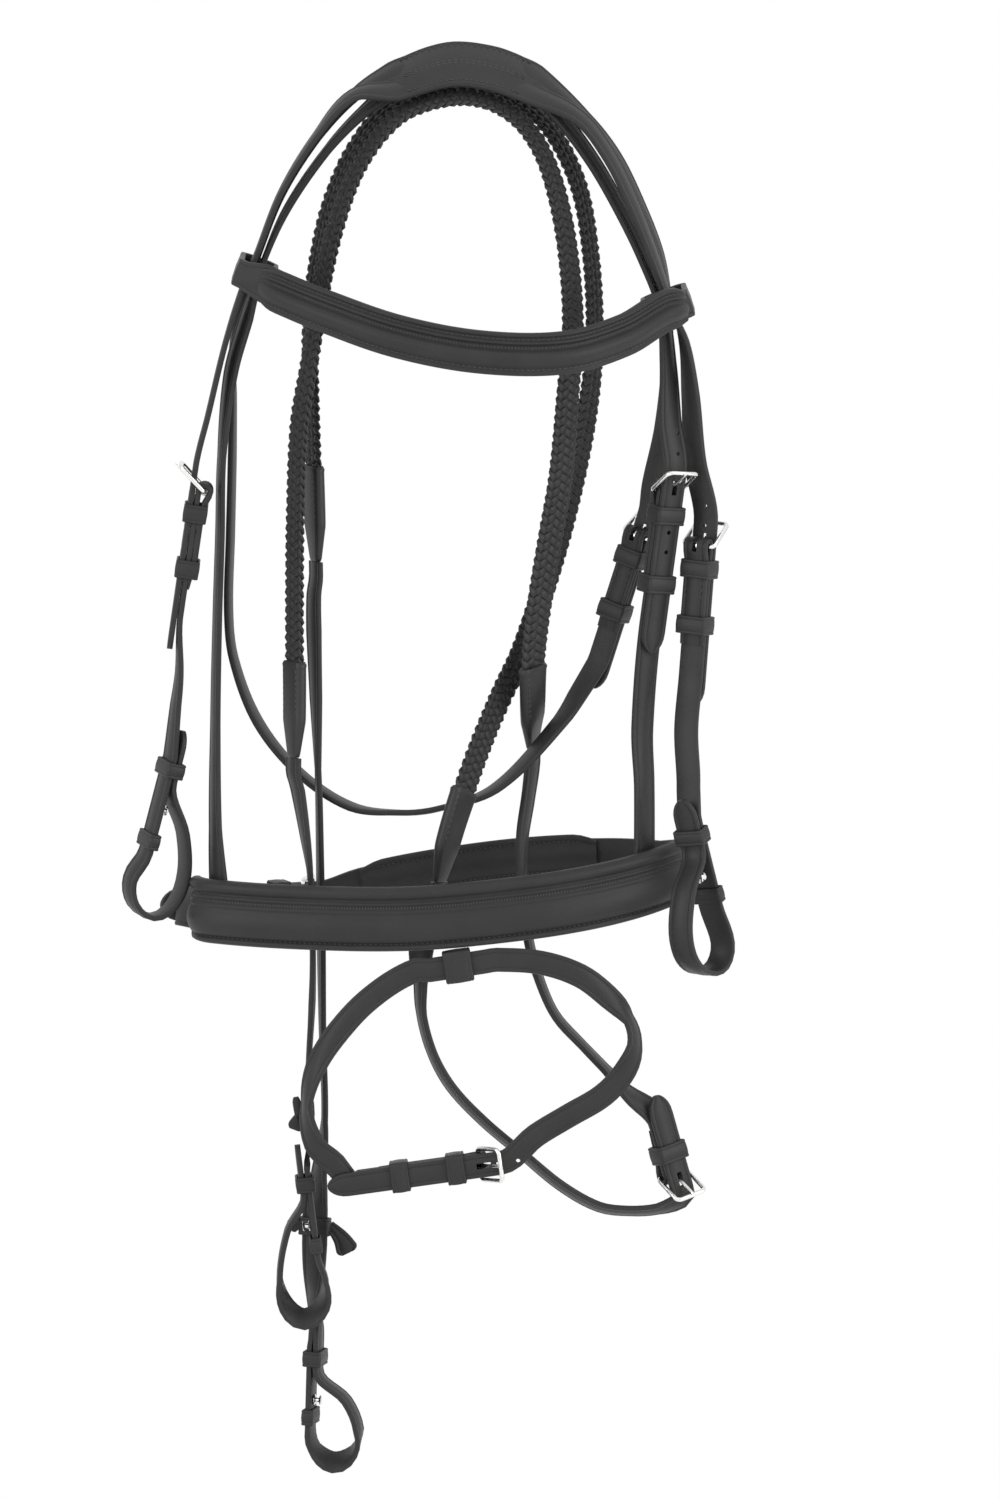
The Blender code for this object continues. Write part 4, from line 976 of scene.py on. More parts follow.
# %% Sizes and routes of the headpiece
crown_width = 0.038
half_crown_width = 0.0194
crown_thickness = 0.0042
crown_slit = 0.0010
crown_step = 0.013
patch_step = 0.003
patch_skive = 0.014
patch_edge_thickness = 0.0026
patch_thickness = 0.0044
patch_stitch_end = 0.006
patch_stitch_inset = 0.0030
slit_stitch_inset = 0.0011
slit_stitch_lift = 0.00034
CROWN = (
    (-56, -22, 0, -35, 52), (0, -39, 0, 0, 54), (46, -34, 0, 12, 54), (84, -19, 0, 40, 48),
)
LEFT_CHEEK_BILLET = (
    (-242, 310, -20, -90), (-225, 240, -18, -90), (-208, 185, -17, -90), (-194, 152, -16.5, -90),
    (-169, 89, -16.5, -88, 25), (-133.5, 32, -16.5, -84, 35), (-97, -8, -16.5, -68, 46),
)
RIGHT_CHEEK_BILLET = (
    (129, 14, -14, 58, 40), (159, 52, -15, 62, 34), (183, 100, -16, 66, 26),
    (203, 150, -16.5, 72, 14), (219, 196, -15, 80), (234, 235, -12, 104), (241, 290, -8, 126),
    (245.5, 355, 0, 142),
)
LEFT_THROAT = (
    (135, 579, 33, 145, -16), (110, 618, 15, 126, -38), (46, 684, 0, 116, -66),
    (-12, 705, 1, 0, -82), (-50, 709, 5, 0, -82), (-100, 703, 12, 250, -74),
    (-153, 668, 21, 256, -48), (-194, 617, 23, 255, -22), (-218, 554, 21, 260),
    (-223, 506, 17, 259), (-221, 430, 18, 259), (-219, 353, 18, 260), (-218, 290, 18.5, 264),
    (-218, 235, 18.5, 272), (-205, 186, 18, 270), (-193, 152, 17.5, 270), (-168, 89, 17, 272, 25),
    (-132, 32, 16.5, 276, 35), (-95, -10, 17, 300, 46),
)
RIGHT_THROAT = (
    (136, 14, 17, 60, 40), (166, 52, 18, 64, 34), (190, 100, 19, 68, 26),
    (210, 150, 19.5, 76, 14), (219, 196, 19.5, 88), (219, 245, 23, 106), (215, 320, 34, 135),
    (203, 380, 40, 145),
)


def crown_line(out_shift=0.0, side_shift=0.0, width=None):
    """The crown's middle line, moved along its outward and its side direction."""
    middle = smooth(knots(CROWN), crown_step)
    moved = []
    for knot, (side, _, out) in zip(middle, axes_along(middle)):
        moved.append(Knot(knot.at + out * out_shift + side * side_shift, out, width))
    return moved


print("crown", round(Course(crown_line()).total * 1000), "mm long")

# %% Headpiece and throatlash
aside = (crown_width + crown_slit) / 4
route = left_cheek.billet_knots(billet_tail)[::-1] + knots(LEFT_CHEEK_BILLET, cheek_width)
route += crown_line(0.0, aside, half_crown_width) + knots(RIGHT_CHEEK_BILLET, cheek_width)
route += right_cheek.billet_knots(billet_tail)
front_half = strap("headpiece_front", route, cheek_width, ("start", "end"))
hole_billet(left_cheek, front_half, 3, 4)
hole_billet(right_cheek, front_half, 3, 4)
stand_for(front_half, "headpiece")

route = throat.fold_knots() + knots(LEFT_THROAT, throat_width)
route += crown_line(0.0, -aside, half_crown_width) + knots(RIGHT_THROAT, throat_width)
route += throat.billet_knots(billet_tail)
rear_half = strap("headpiece_rear", route, throat_width, skived=True)
slot_fold(throat, rear_half)
hole_billet(throat, rear_half, 3, 4)
go_with(rear_half, "headpiece")
dress_buckle(throat, "throatlash", "headpiece", "throatlash_stitches")

print("headpiece", len(front_half.data.polygons) + len(rear_half.data.polygons), "faces")

# %% The layer sewn on the crown
patch = Course(smooth(crown_line(), patch_step))


def patch_section(i):
    """The sewn-on layer, pared thin at its two ends."""
    full = min(1.0, min(patch.lengths[i], patch.total - patch.lengths[i]) / patch_skive)
    thickness = patch_edge_thickness + (patch_thickness - patch_edge_thickness) * full
    return strap_section(crown_width, thickness)


bm = sweep(patch.stations, patch_section)
go_with(add_object("headpiece_crown", bm, strap_leather), "headpiece")
lines = []
for sign in (-1, 1):
    for across, lift in (
        (crown_width / 2 - patch_stitch_inset, stitch_lift), (slit_stitch_inset, slit_stitch_lift),
    ):
        row_end = patch.total - patch_stitch_end
        lift += crown_thickness / 2
        lines.append((patch, patch_stitch_end, row_end, sign * across, lift))
add_stitches("headpiece_stitches", "headpiece", lines)
print("sewn-on layer", round(patch.total * 1000), "mm long")

# %% [markdown]
# ## Browband
#
# The browband crosses the forehead and keeps the headpiece from sliding back. Its ends are
# folded into loops that the headpiece's straps go through. The front is a padded facing: a
# piped edge, a thin roll, a line of stitches, and one broad roll over foam. A pad's profile
# runs down its height in thousandths, with how far it stands out in hundredths. A row of
# stitches has a slant in degrees, a pitch and a length.

# %% Pads
pad_gap = 0.0007
pad_end = 0.016
pad_end_share = 0.42
pad_narrow = 0.50
pad_step = 0.004
pad_seat = strap_thickness / 2 + pad_gap
pad_stitch_end = 0.004
pad_stitch_lift = 0.00008
edge_row = (8.0, 0.0030, 0.0022)
brow_row = (78.0, 0.0020, 0.0017)
nose_row = (80.0, 0.0018, 0.0016)
BROW_PROFILE = (
    (0, 0), (0, 20), (12, 36), (35, 52), (62, 58), (90, 52), (110, 44), (125, 39), (150, 37),
    (175, 40), (195, 48), (215, 56), (240, 61), (265, 56), (285, 46), (305, 40), (350, 39),
    (390, 45), (415, 60), (445, 78), (490, 93), (545, 100), (610, 99), (680, 90), (745, 74),
    (795, 58), (825, 47), (845, 42), (870, 43), (895, 48), (930, 52), (965, 46), (990, 30),
    (1000, 16), (1000, 0),
)
NOSE_PROFILE = (
    (0, 0), (0, 22), (12, 38), (40, 58), (80, 70), (115, 71), (150, 66), (178, 56), (195, 47),
    (210, 43), (228, 46), (243, 54), (262, 58), (281, 54), (295, 48), (310, 46), (335, 47),
    (352, 55), (372, 62), (395, 66), (412, 62), (430, 60), (480, 72), (560, 84), (640, 88),
    (720, 84), (800, 72), (850, 58), (870, 42), (885, 36), (905, 44), (930, 54), (960, 52),
    (985, 36), (1000, 18), (1000, 0),
)
CHIN_PROFILE = (
    (0, 0), (0, 25), (30, 45), (80, 60), (120, 55), (150, 40), (180, 42), (240, 66), (340, 88),
    (500, 100), (660, 88), (760, 66), (820, 42), (850, 40), (880, 55), (920, 60), (970, 45),
    (1000, 25), (1000, 0),
)


print("profile points", len(BROW_PROFILE), len(NOSE_PROFILE), len(CHIN_PROFILE))

# %% A pad and its stitches
def add_pad(stem, course, profile, height, bulge, rows):
    """A pad sewn to the face of a band, with rows of stitches at shares of its height."""
    shape = [(down / 1000, out / 100) for down, out in profile]

    def fullness(length):
        """1 along the pad and less over its rounded ends."""
        near = min(1.0, min(length, course.total - length) / pad_end)
        return pad_end_share + (1.0 - pad_end_share) * math.sin(near * math.pi / 2)

    def section(i):
        full = fullness(course.lengths[i])
        tall = height * (1.0 - pad_narrow * (1.0 - full))
        return [((down - 0.5) * tall, pad_seat + out * bulge * full) for down, out in shape]

    def lift_at(down):
        high = table_at(shape, down) * bulge
        return lambda length: pad_seat + high * fullness(length) + pad_stitch_lift

    bm = sweep(course.stations, section)
    node = stem + "_pad"
    thing = stand_for(add_object(stem + "_padding", bm, pad_leather, 75.0), node, "padded_leather")
    lines = []
    for down, look in rows:
        row_end = course.total - pad_stitch_end
        lines.append((course, pad_stitch_end, row_end, (down - 0.5) * height, lift_at(down), *look))
    add_stitches(stem + "_stitches", node, lines)
    print(stem, "pad", round(course.total * 1000), "mm long")


# %% Browband
browband_height = 0.024
browband_loop_height = 0.0168
browband_pad_height = 0.026
browband_pad_bulge = 0.0075
left_loop_half_across = 0.0105
right_loop_half_across = 0.0130
loop_half_deep = 0.0235
loop_corner = 0.0040
loop_tuck = 0.0060
BROW = (
    (-186, 180, -56, -38), (-170, 188, -70, -32), (-122, 209, -106, -22), (-50, 235, -138, -10),
    (30, 250.5, -152, 0), (112, 251, -140, 12), (170, 233, -102, 30), (210, 208, -60, 46),
    (224, 204, -47, 47),
)


def loop_end(row, way_row, sign, half):
    """The band's end: in behind the front, along the inside, round the back, out again."""
    middle = place(*row)
    back = Vector((0.0, 1.0, 0.0))
    out = back.cross(place(*way_row) - middle).normalized()
    if out.x * sign < 0:
        out = -out
    deep = loop_half_deep
    made = []
    for a, b, face_a, face_b in (
        (-half, loop_tuck - deep, -1, 0),
        (-half, deep - loop_corner, -1, 0),
        (loop_corner - half, deep, 0, 1),
        (half - loop_corner, deep, 0, 1),
        (half, deep - loop_corner, 1, 0),
        (half, loop_corner - deep, 1, 0),
        (half - loop_corner, -deep, 0, -1),
    ):
        face = out * face_a + back * face_b
        made.append(Knot(middle + out * a + back * b, face, browband_loop_height, True))
    return made


brow_left = loop_end(*PLACES["left_browband_loop"], -1, left_loop_half_across)
brow_right = loop_end(*PLACES["right_browband_loop"], 1, right_loop_half_across)[::-1]
route = brow_left + knots(BROW, browband_height) + brow_right
stand_for(strap("browband_leather", route, browband_height, ()), "browband")
first = len(brow_left)
brow_course = Course(smooth(route, pad_step, first, first + len(BROW)))
add_pad("browband", brow_course, BROW_PROFILE, browband_pad_height, browband_pad_bulge,
        ((0.350, brow_row), (0.150, edge_row), (0.845, edge_row)))

# %% [markdown]
# ## Noseband
#
# The noseband goes round the nose like a belt and buckles under the jaw. Its front is a
# deep padded facing with a rolled top edge and a panel over foam. The chin part is
# narrower and has its own soft lining on the inside, where it lies against the jaw. The
# last number of a row of its table is the strap's height there, as a share of the full one.

# %% Noseband
nose_height = 0.036
nose_pad_height = 0.039
nose_pad_bulge = 0.0090
chin_pad_height = 0.026
chin_pad_bulge = 0.0050
chin_pad_step = 0.005
NOSE_PAD_LAST_ROW = 7
CHIN_PAD_FIRST_ROW = 9
CHIN_PAD_LAST_ROW = 12
BAND = (
    (-253, 802, 2, -98, 0.86), (-238, 807, -45, -52, 0.95), (-146, 813, -85, -18, 1),
    (-40, 814, -100, -4, 1), (65, 804.5, -96, 8, 1), (141, 792.5, -74, 25, 1),
    (200, 777, -38, 50, 0.95), (230, 762, 12, 90, 0.86), (212, 756, 52, 130, 0.62),
    (150, 752, 90, 158, 0.56), (70, 756, 110, 172, 0.56), (-20, 768, 118, 182, 0.56),
    (-90, 782, 113, 194, 0.56),
)

chin_front = chin.fold_knots()
route = chin_front + [Knot(place(*row[:3]), facing(row[3]), nose_height * row[4]) for row in BAND]
route += chin.billet_knots(chin_tail)
noseband = strap("noseband_leather", route, chin_width, skived=True)
slot_fold(chin, noseband)
hole_billet(chin, noseband, 3, 2)
stand_for(noseband, "noseband")
dress_buckle(chin, "chin", "noseband", "chin_fold_stitches")

lead = len(chin_front)
nose_course = Course(smooth(route, pad_step, lead, lead + NOSE_PAD_LAST_ROW))
add_pad("noseband", nose_course, NOSE_PROFILE, nose_pad_height, nose_pad_bulge,
        ((0.322, nose_row), (0.885, edge_row)))
rear = smooth(route, chin_pad_step, lead + CHIN_PAD_FIRST_ROW, lead + CHIN_PAD_LAST_ROW)
chin_course = Course([Knot(knot.at, -knot.face) for knot in rear])
add_pad("chin", chin_course, CHIN_PROFILE, chin_pad_height, chin_pad_bulge,
        ((0.15, edge_row), (0.85, edge_row)))

# %% [markdown]
# ## Straps that hang the noseband
#
# A light strap of its own runs under the headpiece and carries the noseband: sewn in on the
# left, and buckled on the right to a short hanger, so that the noseband can be raised.

# %% Headstrap and hanger
crown_rest_gap = 0.0006
headstrap_seat_gap = 0.0019
hanger_seat_gap = 0.0010
HEADSTRAP_LEFT = (
    (-236, 725, -29, -68), (-236, 620, -16, -76), (-234, 516, -6, -78), (-231, 430, -8, -78),
    (-229, 353, -11, -80), (-220, 270, -11, -66), (-204, 213, -10, -66), (-187, 158, -6, -88),
    (-163, 104, 0, -84, 25), (-123, 46, 0, -82, 36), (-88, 9, -0.5, -68, 48),
)
HEADSTRAP_RIGHT = (
    (111, 14, 0, 57, 41), (144, 58, 0, 62, 32), (172, 107, 0, 66, 22), (194, 153, -2, 70, 8),
    (212.5, 203, -6, 72), (218.5, 260, -9.5, 58), (221, 320, -12, 38),
)
HANGER = (
    (193, 624, -12, 40), (195, 682, -20, 46),
)
HEADSTRAP_SEAT = (-238, 800, -45, -46)
HANGER_SEAT = (200, 780, -38, 44)


def band_seat(row, gap):
    """Where a hanging strap ends, flat against the inside of the noseband."""
    face = facing(row[3])
    return [Knot(place(*row[:3]) - face * (strap_thickness + gap), face)]


route = band_seat(HEADSTRAP_SEAT, headstrap_seat_gap) + knots(HEADSTRAP_LEFT)
route += crown_line(-(crown_thickness + strap_thickness) / 2 - crown_rest_gap)
route += knots(HEADSTRAP_RIGHT) + hanger.billet_knots(billet_tail)
thing = strap("headstrap_leather", route, headstrap_width)
hole_billet(hanger, thing, 3, 5)
stand_for(thing, "noseband_headstrap")

route = hanger.fold_knots() + knots(HANGER, headstrap_width)
route += band_seat(HANGER_SEAT, hanger_seat_gap)
thing = strap("hanger_leather", route, headstrap_width, (), skived=True)
slot_fold(hanger, thing)
stand_for(thing, "noseband_hanger")
dress_buckle(hanger, "noseband_hanger", "noseband_hanger", "hanger_stitches")
print("headstrap knots beside the crown", len(HEADSTRAP_LEFT) + len(HEADSTRAP_RIGHT))

# %% [markdown]
# ## Cheekpieces
#
# The cheekpieces hold the bit at its height in the mouth. Each buckles to the headpiece and
# ends in a bit loop. Where the strap is folded round the buckle it is sewn to itself.

# %% Cheekpieces
LEFT_CHEEK = (
    (-272, 570, -24, -80), (-277.5, 616, -25, -70),
)
LEFT_BIT_LOOP = (
    (-322, 776, -26, -65), (-319, 801, -24, -65, -45), (-300, 814, -20, -65, -90),
    (-280, 802, -16, 115, -45), (-268, 772, -14, 115), (-269, 730, -16, 115),
)
RIGHT_CHEEK = (
    (237, 625, -26, 150), (239, 670, -40, 150),
)
RIGHT_BIT_LOOP = (
    (274, 840, -39, 150), (269, 862, -46, 150, -45), (254, 869, -64, 150, -90),
    (238, 857, -88, -30, -45), (231, 830, -96, -30), (234, 790, -88, -30),
)
for stem, buckle, rows, bit_end, loop in (
    ("left_cheek", left_cheek, LEFT_CHEEK, left_bit, LEFT_BIT_LOOP),
    ("right_cheek", right_cheek, RIGHT_CHEEK, right_bit, RIGHT_BIT_LOOP),
):
    route = buckle.fold_knots() + knots(rows) + bit_end.run_knots()
    route += knots(loop) + bit_end.return_knots()
    thing = strap(stem + "_leather", route, cheek_width, skived=True)
    slot_fold(buckle, thing)
    stand_for(thing, stem + "_strap")
    dress_buckle(buckle, stem, stem + "_strap", stem + "_stitches")
    bit_end.dress(stem)
    print(stem, round(Course(route).total * 1000), "mm of strap")

# %% [markdown]
# ## Flash strap
#
# The flash is a thin strap through a loop on the middle of the noseband. It buckles below
# the bit and keeps the mouth shut. Hung up, it twists as a thin strap does.

# %% Flash strap and loop
flash_loop_length = 0.017
flash_loop_wall = 0.0024
FLASH = (
    (-116, 1062, -82, 0), (-136, 1042, -86, -30), (-144, 1002, -92, -72), (-133, 960, -94, -40),
    (-100, 914, -98, -10), (-66, 884, -102, 0), (-33, 866, -104, 0),
)
FLASH_RIGHT = (
    (47, 856, -102, 0), (91, 859, -100, 0), (130, 872, -96, 10), (158, 893, -92, 34),
    (179, 916, -90, 76), (185, 940, -89, 60), (176, 967, -88, 20), (154, 992, -88, 0),
    (119, 1013, -88, 0), (86, 1033, -88, 0),
)
flash_loop = Seat(*PLACES["flash_loop"], 0.0, flash_width)
route = flash.fold_knots() + knots(FLASH, flash_width)
route += [flash_loop.knot(-flash_loop_length), flash_loop.knot(flash_loop_length)]
route += knots(FLASH_RIGHT, flash_width) + flash.billet_knots(flash_tail)
thing = strap("flash_leather", route, flash_width, skived=True)
slot_fold(flash, thing)
hole_billet(flash, thing, 0, 3)
stand_for(thing, "flash_strap")
dress_buckle(flash, "flash", "flash_strap", "flash_stitches")
half = strap_thickness / 2 + clearance
add_keeper("flash_loop", flash_loop, 0.0, -half, half, flash_loop_wall, flash_loop_length)
print("flash strap", round(Course(route).total * 1000), "mm with its fold")

# %% [markdown]
# ## Rein grips
#
# The middle of each rein is plaited so that wet hands can hold it: five flat strips go over
# and under each other. Each strip swings from edge to edge like a sine, and rises and dips
# four times as often, so that it passes over one neighbour and under the next. The ends of
# the plait are gathered into smooth sewn sleeves.

# %% Sizes and routes of the grips
grip_width = 0.0195
core_width_share = 0.62
core_thickness = 0.0009
plait_step = 0.004
sleeve_width = 0.0200
sleeve_thickness = 0.0072
sleeve_length = 0.058
sleeve_taper = 0.022
sleeve_end_share = 0.55
sleeve_steps = 30
sleeve_overlap = 0.006
sleeve_stitch_start = 0.026
sleeve_stitch_end = 0.004
sleeve_stitch_sunk = 0.00005
strands = 5
strand_period = 0.0275
strand_width = 0.0050
strand_thickness = 0.0017
strand_rise = 0.00115
strand_step = 0.0016
STRAND_OUTLINE = (
    (0.72, -1.0), (1.0, -0.25), (0.94, 0.45), (0.55, 1.0),
    (-0.55, 1.0), (-0.94, 0.45), (-1.0, -0.25), (-0.72, -1.0),
)
strand_section = [(u * strand_width / 2, v * strand_thickness / 2) for u, v in STRAND_OUTLINE]
LEFT_GRIP = (
    (-157, 653, -45, -62), (-156, 606, -43, -60), (-156, 554, -42, -58), (-156, 496, -40, -58),
    (-155, 411, -38, -58), (-151, 320, -34, -58), (-141, 260, -32, -60), (-126, 171, -30, -60),
    (-112, 116, -30, -62, 10), (-94, 69, -29, -62, 28), (-70, 32, -29, -56, 46),
    (-44, 8, -24, -38, 58), (2, -7, -17, 0, 60), (40, -2, -17, 30, 60), (70, 17, -18, 52, 44),
    (92, 48, -18, 58, 24), (107, 90, -17, 56, 8), (118, 148, -16, 54), (123, 220, -15, 50),
    (118, 290, -13, 46), (111, 370, -11, 42), (101, 430, -10, 40), (91, 490, -10, 40),
    (84, 550, -6, 44), (83, 600, 12, 50), (83, 642, 37, 60),
)
RIGHT_GRIP = (
    (-135, 456, 2, -66), (-136, 408, 2, -64), (-138, 350, 2, -62), (-140, 280, 2, -62),
    (-140, 210, 4, -64), (-131, 140, 6, -66), (-117, 88, 6, -66, 16), (-94, 40, 8, -64, 34),
    (-60, 2, 12, -50, 52), (0, -20, 16, 0, 60), (48, -16, 16, 32, 60), (86, 8, 16, 54, 44),
    (112, 42, 16, 60, 26), (131, 88, 17, 62, 8), (141, 148, 19, 62), (145, 210, 21, 60),
    (143, 265, 23, 56), (136, 316, 25, 50), (125, 370, 26, 46), (110, 430, 26, 44),
    (92, 490, 26, 44), (71, 550, 23, 46), (52, 590, 14, 48), (31, 640, -14, 48),
    (13, 690, -34, 48), (-1, 735, -38, 52), (-11, 778, -36, 56),
)


print("a strip swings once in", strand_period * 1000, "mm")

# %% The plait
def add_plait(stem, course):
    """Five strips woven flat between the two sleeves."""
    start = sleeve_length - sleeve_overlap
    end = course.total - start
    swing = grip_width / 2 - strand_width / 2
    count = int((end - start) / strand_step)
    for k in range(strands):
        stations = []
        for i in range(count + 1):
            reach = start + (end - start) * i / count
            point, side, _, out = course.at(reach)
            turn = 2 * math.pi * (reach / strand_period + k / strands)
            rise = strand_rise * math.sin(4 * turn)
            stations.append(Knot(point + side * swing * math.sin(turn) + out * rise, out))
        bm = sweep(stations, lambda i: strand_section)
        thing = add_object(stem + "_strand_" + str(k + 1), bm, plait_leather, 60.0)
        (stand_for if k == 0 else go_with)(thing, stem)


print("strips", strands)

# %% Sleeves and grips
def add_sleeve(name, node, course, start, end):
    """A smooth sewn sleeve that tapers towards the plain strap; start is its outer end."""
    stations = []
    outlines = []
    for i in range(sleeve_steps + 1):
        t = i / sleeve_steps
        point, _, _, out = course.at(start + (end - start) * t)
        stations.append(Knot(point, out))
        full = min(1.0, sleeve_length * t / sleeve_taper)
        share = sleeve_end_share + (1.0 - sleeve_end_share) * full
        share *= 1.0 + 0.05 * math.exp(-((t - 0.97) / 0.015) ** 2)
        share *= 0.90 if i in (0, sleeve_steps) else 1.0
        wide = sleeve_width / 2 * share
        tall = sleeve_thickness / 2 * share
        outlines.append(rounded_corners(wide, tall, tall * 0.84, 5))
    bm = sweep(stations, lambda i: outlines[i])
    go_with(add_object(name, bm, sleeve_leather, 60.0), node)


def add_grip(stem, rows):
    course = Course(smooth(knots(rows), plait_step))
    add_plait(stem, course)
    inside = sleeve_length * 0.8
    inner = [station for station, length in zip(course.stations, course.lengths)
             if inside < length < course.total - inside]
    core = strap_section(grip_width * core_width_share, core_thickness, False)
    bm = sweep(inner, lambda i: core)
    go_with(add_object(stem + "_core", bm, plait_leather), stem)
    far = course.total - sleeve_length
    add_sleeve(stem + "_first_sleeve", stem, course, 0.0, sleeve_length)
    add_sleeve(stem + "_last_sleeve", stem, course, course.total, far)
    lines = []
    lift = sleeve_thickness / 2 - sleeve_stitch_sunk
    for sign in (-1, 1):
        offset = sign * (sleeve_width / 2 - stitch_inset)
        for low, high in (
            (sleeve_stitch_start, sleeve_length - sleeve_stitch_end),
            (far + sleeve_stitch_end, course.total - sleeve_stitch_start),
        ):
            lines.append((course, low, high, offset, lift))
    add_stitches(stem + "_stitches", stem, lines)
    print(stem, round(course.total * 1000), "mm")


add_grip("left_rein_grip", LEFT_GRIP)
add_grip("right_rein_grip", RIGHT_GRIP)

# %% [markdown]
# ## Plain ends of the reins
#
# Below the plait the reins are plain strap. At the bit each ends as the cheekpieces do; in
# the rider's hand the two are joined by one buckle. A leather stop slides on each rein: its
# flared flap keeps a martingale's ring from running up on to the bit.

# %% Sizes and routes of the rein straps
grip_lead = 0.008
grip_step = 0.016
flap_step = 0.0012
flap_thickness = 0.0022
flap_bulge = 0.12
flap_sunk = 0.0006
flap_tip_shares = (0.94, 0.82, 0.58)
LEFT_BIT_STRAP = (
    (-153, 686, -43, -64), (-145, 737, -43, -76), (-140, 779, -43, -90), (-138, 846, -43, -90),
    (-139, 900, -43, -94), (-142, 956, -43, -90),
)
LEFT_REIN_LOOP = (
    (-126, 1180, -44, 92), (-129, 1206, -44, 125, -35), (-147, 1220, -44, 180, -50),
    (-165, 1207, -44, -125, -35), (-172, 1178, -44, -88), (-164, 1130, -44, -88),
)
RIGHT_BIT_STRAP = (
    (-137, 490, 0, -64), (-137, 526, -2, -62), (-135, 595, -6, -70), (-133, 665, -10, -86),
    (-132, 699, -11, -84), (-131, 767, -10, -82), (-130, 846, -8, -80), (-129, 930, -6, -84),
    (-127, 1020, -4, -86), (-133, 1076, -3, -60),
)
RIGHT_REIN_LOOP = (
    (-138, 1352, -7, -112, -30), (-118, 1367, -11, 180, -50), (-98, 1356, -16, 102, -25),
    (-93, 1334, -17, 76), (-105, 1304, -14, 76),
)
LEFT_HAND = (
    (79, 690, 37, 66), (72, 740, 14, 70), (74, 796, -18, 74), (79, 838, -26, 78),
    (89, 875, -28, 80, 12), (106, 913, -28, 82, 30), (133, 943, -27, 82, 43),
    (156, 967, -25.5, 80, 42), (178, 991, -23.5, 64, 34),
)
RIGHT_HAND = (
    (-21, 815, -35, 30), (-29, 844, -34, -20), (-30, 880, -33, -66), (-29, 912, -32, -75),
    (-18, 952, -30, -73, -15), (1, 986, -29, -66, -34), (33, 1020, -28, -60, -45),
    (72, 1053, -27, -60, -45), (112, 1086, -25, -54, -50), (150, 1107, -24, -36, -61),
    (181, 1111, -25, 0, -67), (209, 1109, -26, 24, -62), (231, 1101, -27, 38, -34),
)
LEFT_FLAPS = (
    (1, 0.0110, 0.0050, -0.0200, 0.0060, 0.0050), (1, 0.0, 0.0060, 0.0110, 0.0050, 0.0110),
)
RIGHT_FLAPS = (
    (1, -0.0010, 0.0120, 0.0170, 0.0060, 0.0150), (-1, -0.0020, 0.0065, 0.0030, 0.0060, 0.0110),
)


print("the right rein's hand end has", len(RIGHT_HAND), "knots")

# %% Rein stops
def strap_from_grip(rows):
    """The first knots of a strap that goes on from a grip's end, square to it."""
    before, last = smooth(knots(rows), grip_step)[-2:]
    way = (last.at - before.at).normalized()
    near = last.at + way * clearance
    return [Knot(near, last.face, None, True), Knot(near + way * grip_lead, last.face, None, True)]


class Stop(Seat):
    """A leather stop: a short loop on the rein with flaps that flare to its sides."""

    def run_knots(self):
        return [self.knot(-keeper_length), self.knot(keeper_length)]

    def dress(self, node, flap_turn_deg, flaps):
        """Each flap has a side, a start along the loop, a reach out and along, and two widths."""
        half = strap_thickness / 2 + clearance
        add_keeper(node, self, 0.0, -half, half)
        flap = square_to(self.way, facing(flap_turn_deg))
        wide = self.width / 2 + clearance
        reach = wide * abs(self.side.dot(flap)) + half * abs(self.out.dot(flap))
        reach += keeper_wall / 2 - flap_sunk
        face = self.way.cross(flap)
        for number, (sign, start, away, along, root_width, end_width) in enumerate(flaps, 1):
            root = self.at + flap * sign * reach + self.way * start
            end = root + flap * sign * away + self.way * along
            bend = root.lerp(end, 0.5) + flap * sign * away * flap_bulge
            middle_width = (root_width + end_width) / 2
            rows = ((root, root_width), (bend, middle_width), (end, end_width))
            stations = smooth([Knot(at, face, width) for at, width in rows], flap_step)
            for share, station in zip(flap_tip_shares, stations[-3:]):
                station.width *= share
            bm = sweep(stations, lambda i: strap_section(stations[i].width, flap_thickness))
            go_with(add_object(node + "_flap_" + str(number), bm, strap_leather), node)


left_stop = Stop(*PLACES["left_stop"], -88.0, rein_width)
right_stop = Stop(*PLACES["right_stop"], -20.0, rein_width)
print("flaps", len(LEFT_FLAPS) + len(RIGHT_FLAPS))

# %% Reins
for stem, grip, rows, stop, flap_turn, flaps, end, loop in (
    ("left_rein", LEFT_GRIP, LEFT_BIT_STRAP, left_stop, -90.0, LEFT_FLAPS, left_rein_end,
     LEFT_REIN_LOOP),
    ("right_rein", RIGHT_GRIP, RIGHT_BIT_STRAP, right_stop, 90.0, RIGHT_FLAPS, right_rein_end,
     RIGHT_REIN_LOOP),
):
    route = strap_from_grip(grip[::-1]) + knots(rows) + stop.run_knots()
    route += end.run_knots() + knots(loop) + end.return_knots()
    stand_for(strap(stem + "_bit_leather", route, rein_width), stem + "_bit_strap")
    end.dress(stem)
    stop.dress(stem + "_stop", flap_turn, flaps)

route = centre.fold_knots() + knots(LEFT_HAND)[::-1] + strap_from_grip(LEFT_GRIP)[::-1]
thing = strap("left_hand_leather", route, rein_width, (), skived=True)
slot_fold(centre, thing)
stand_for(thing, "left_rein_hand_strap")
route = strap_from_grip(RIGHT_GRIP) + knots(RIGHT_HAND) + centre.billet_knots(rein_tail)
thing = strap("right_hand_leather", route, rein_width)
hole_billet(centre, thing, 1, 0)
stand_for(thing, "right_rein_hand_strap")
dress_buckle(centre, "rein", "left_rein_hand_strap", "rein_fold_stitches")
print("reins joined at a buckle of", centre.width * 1000, "mm")

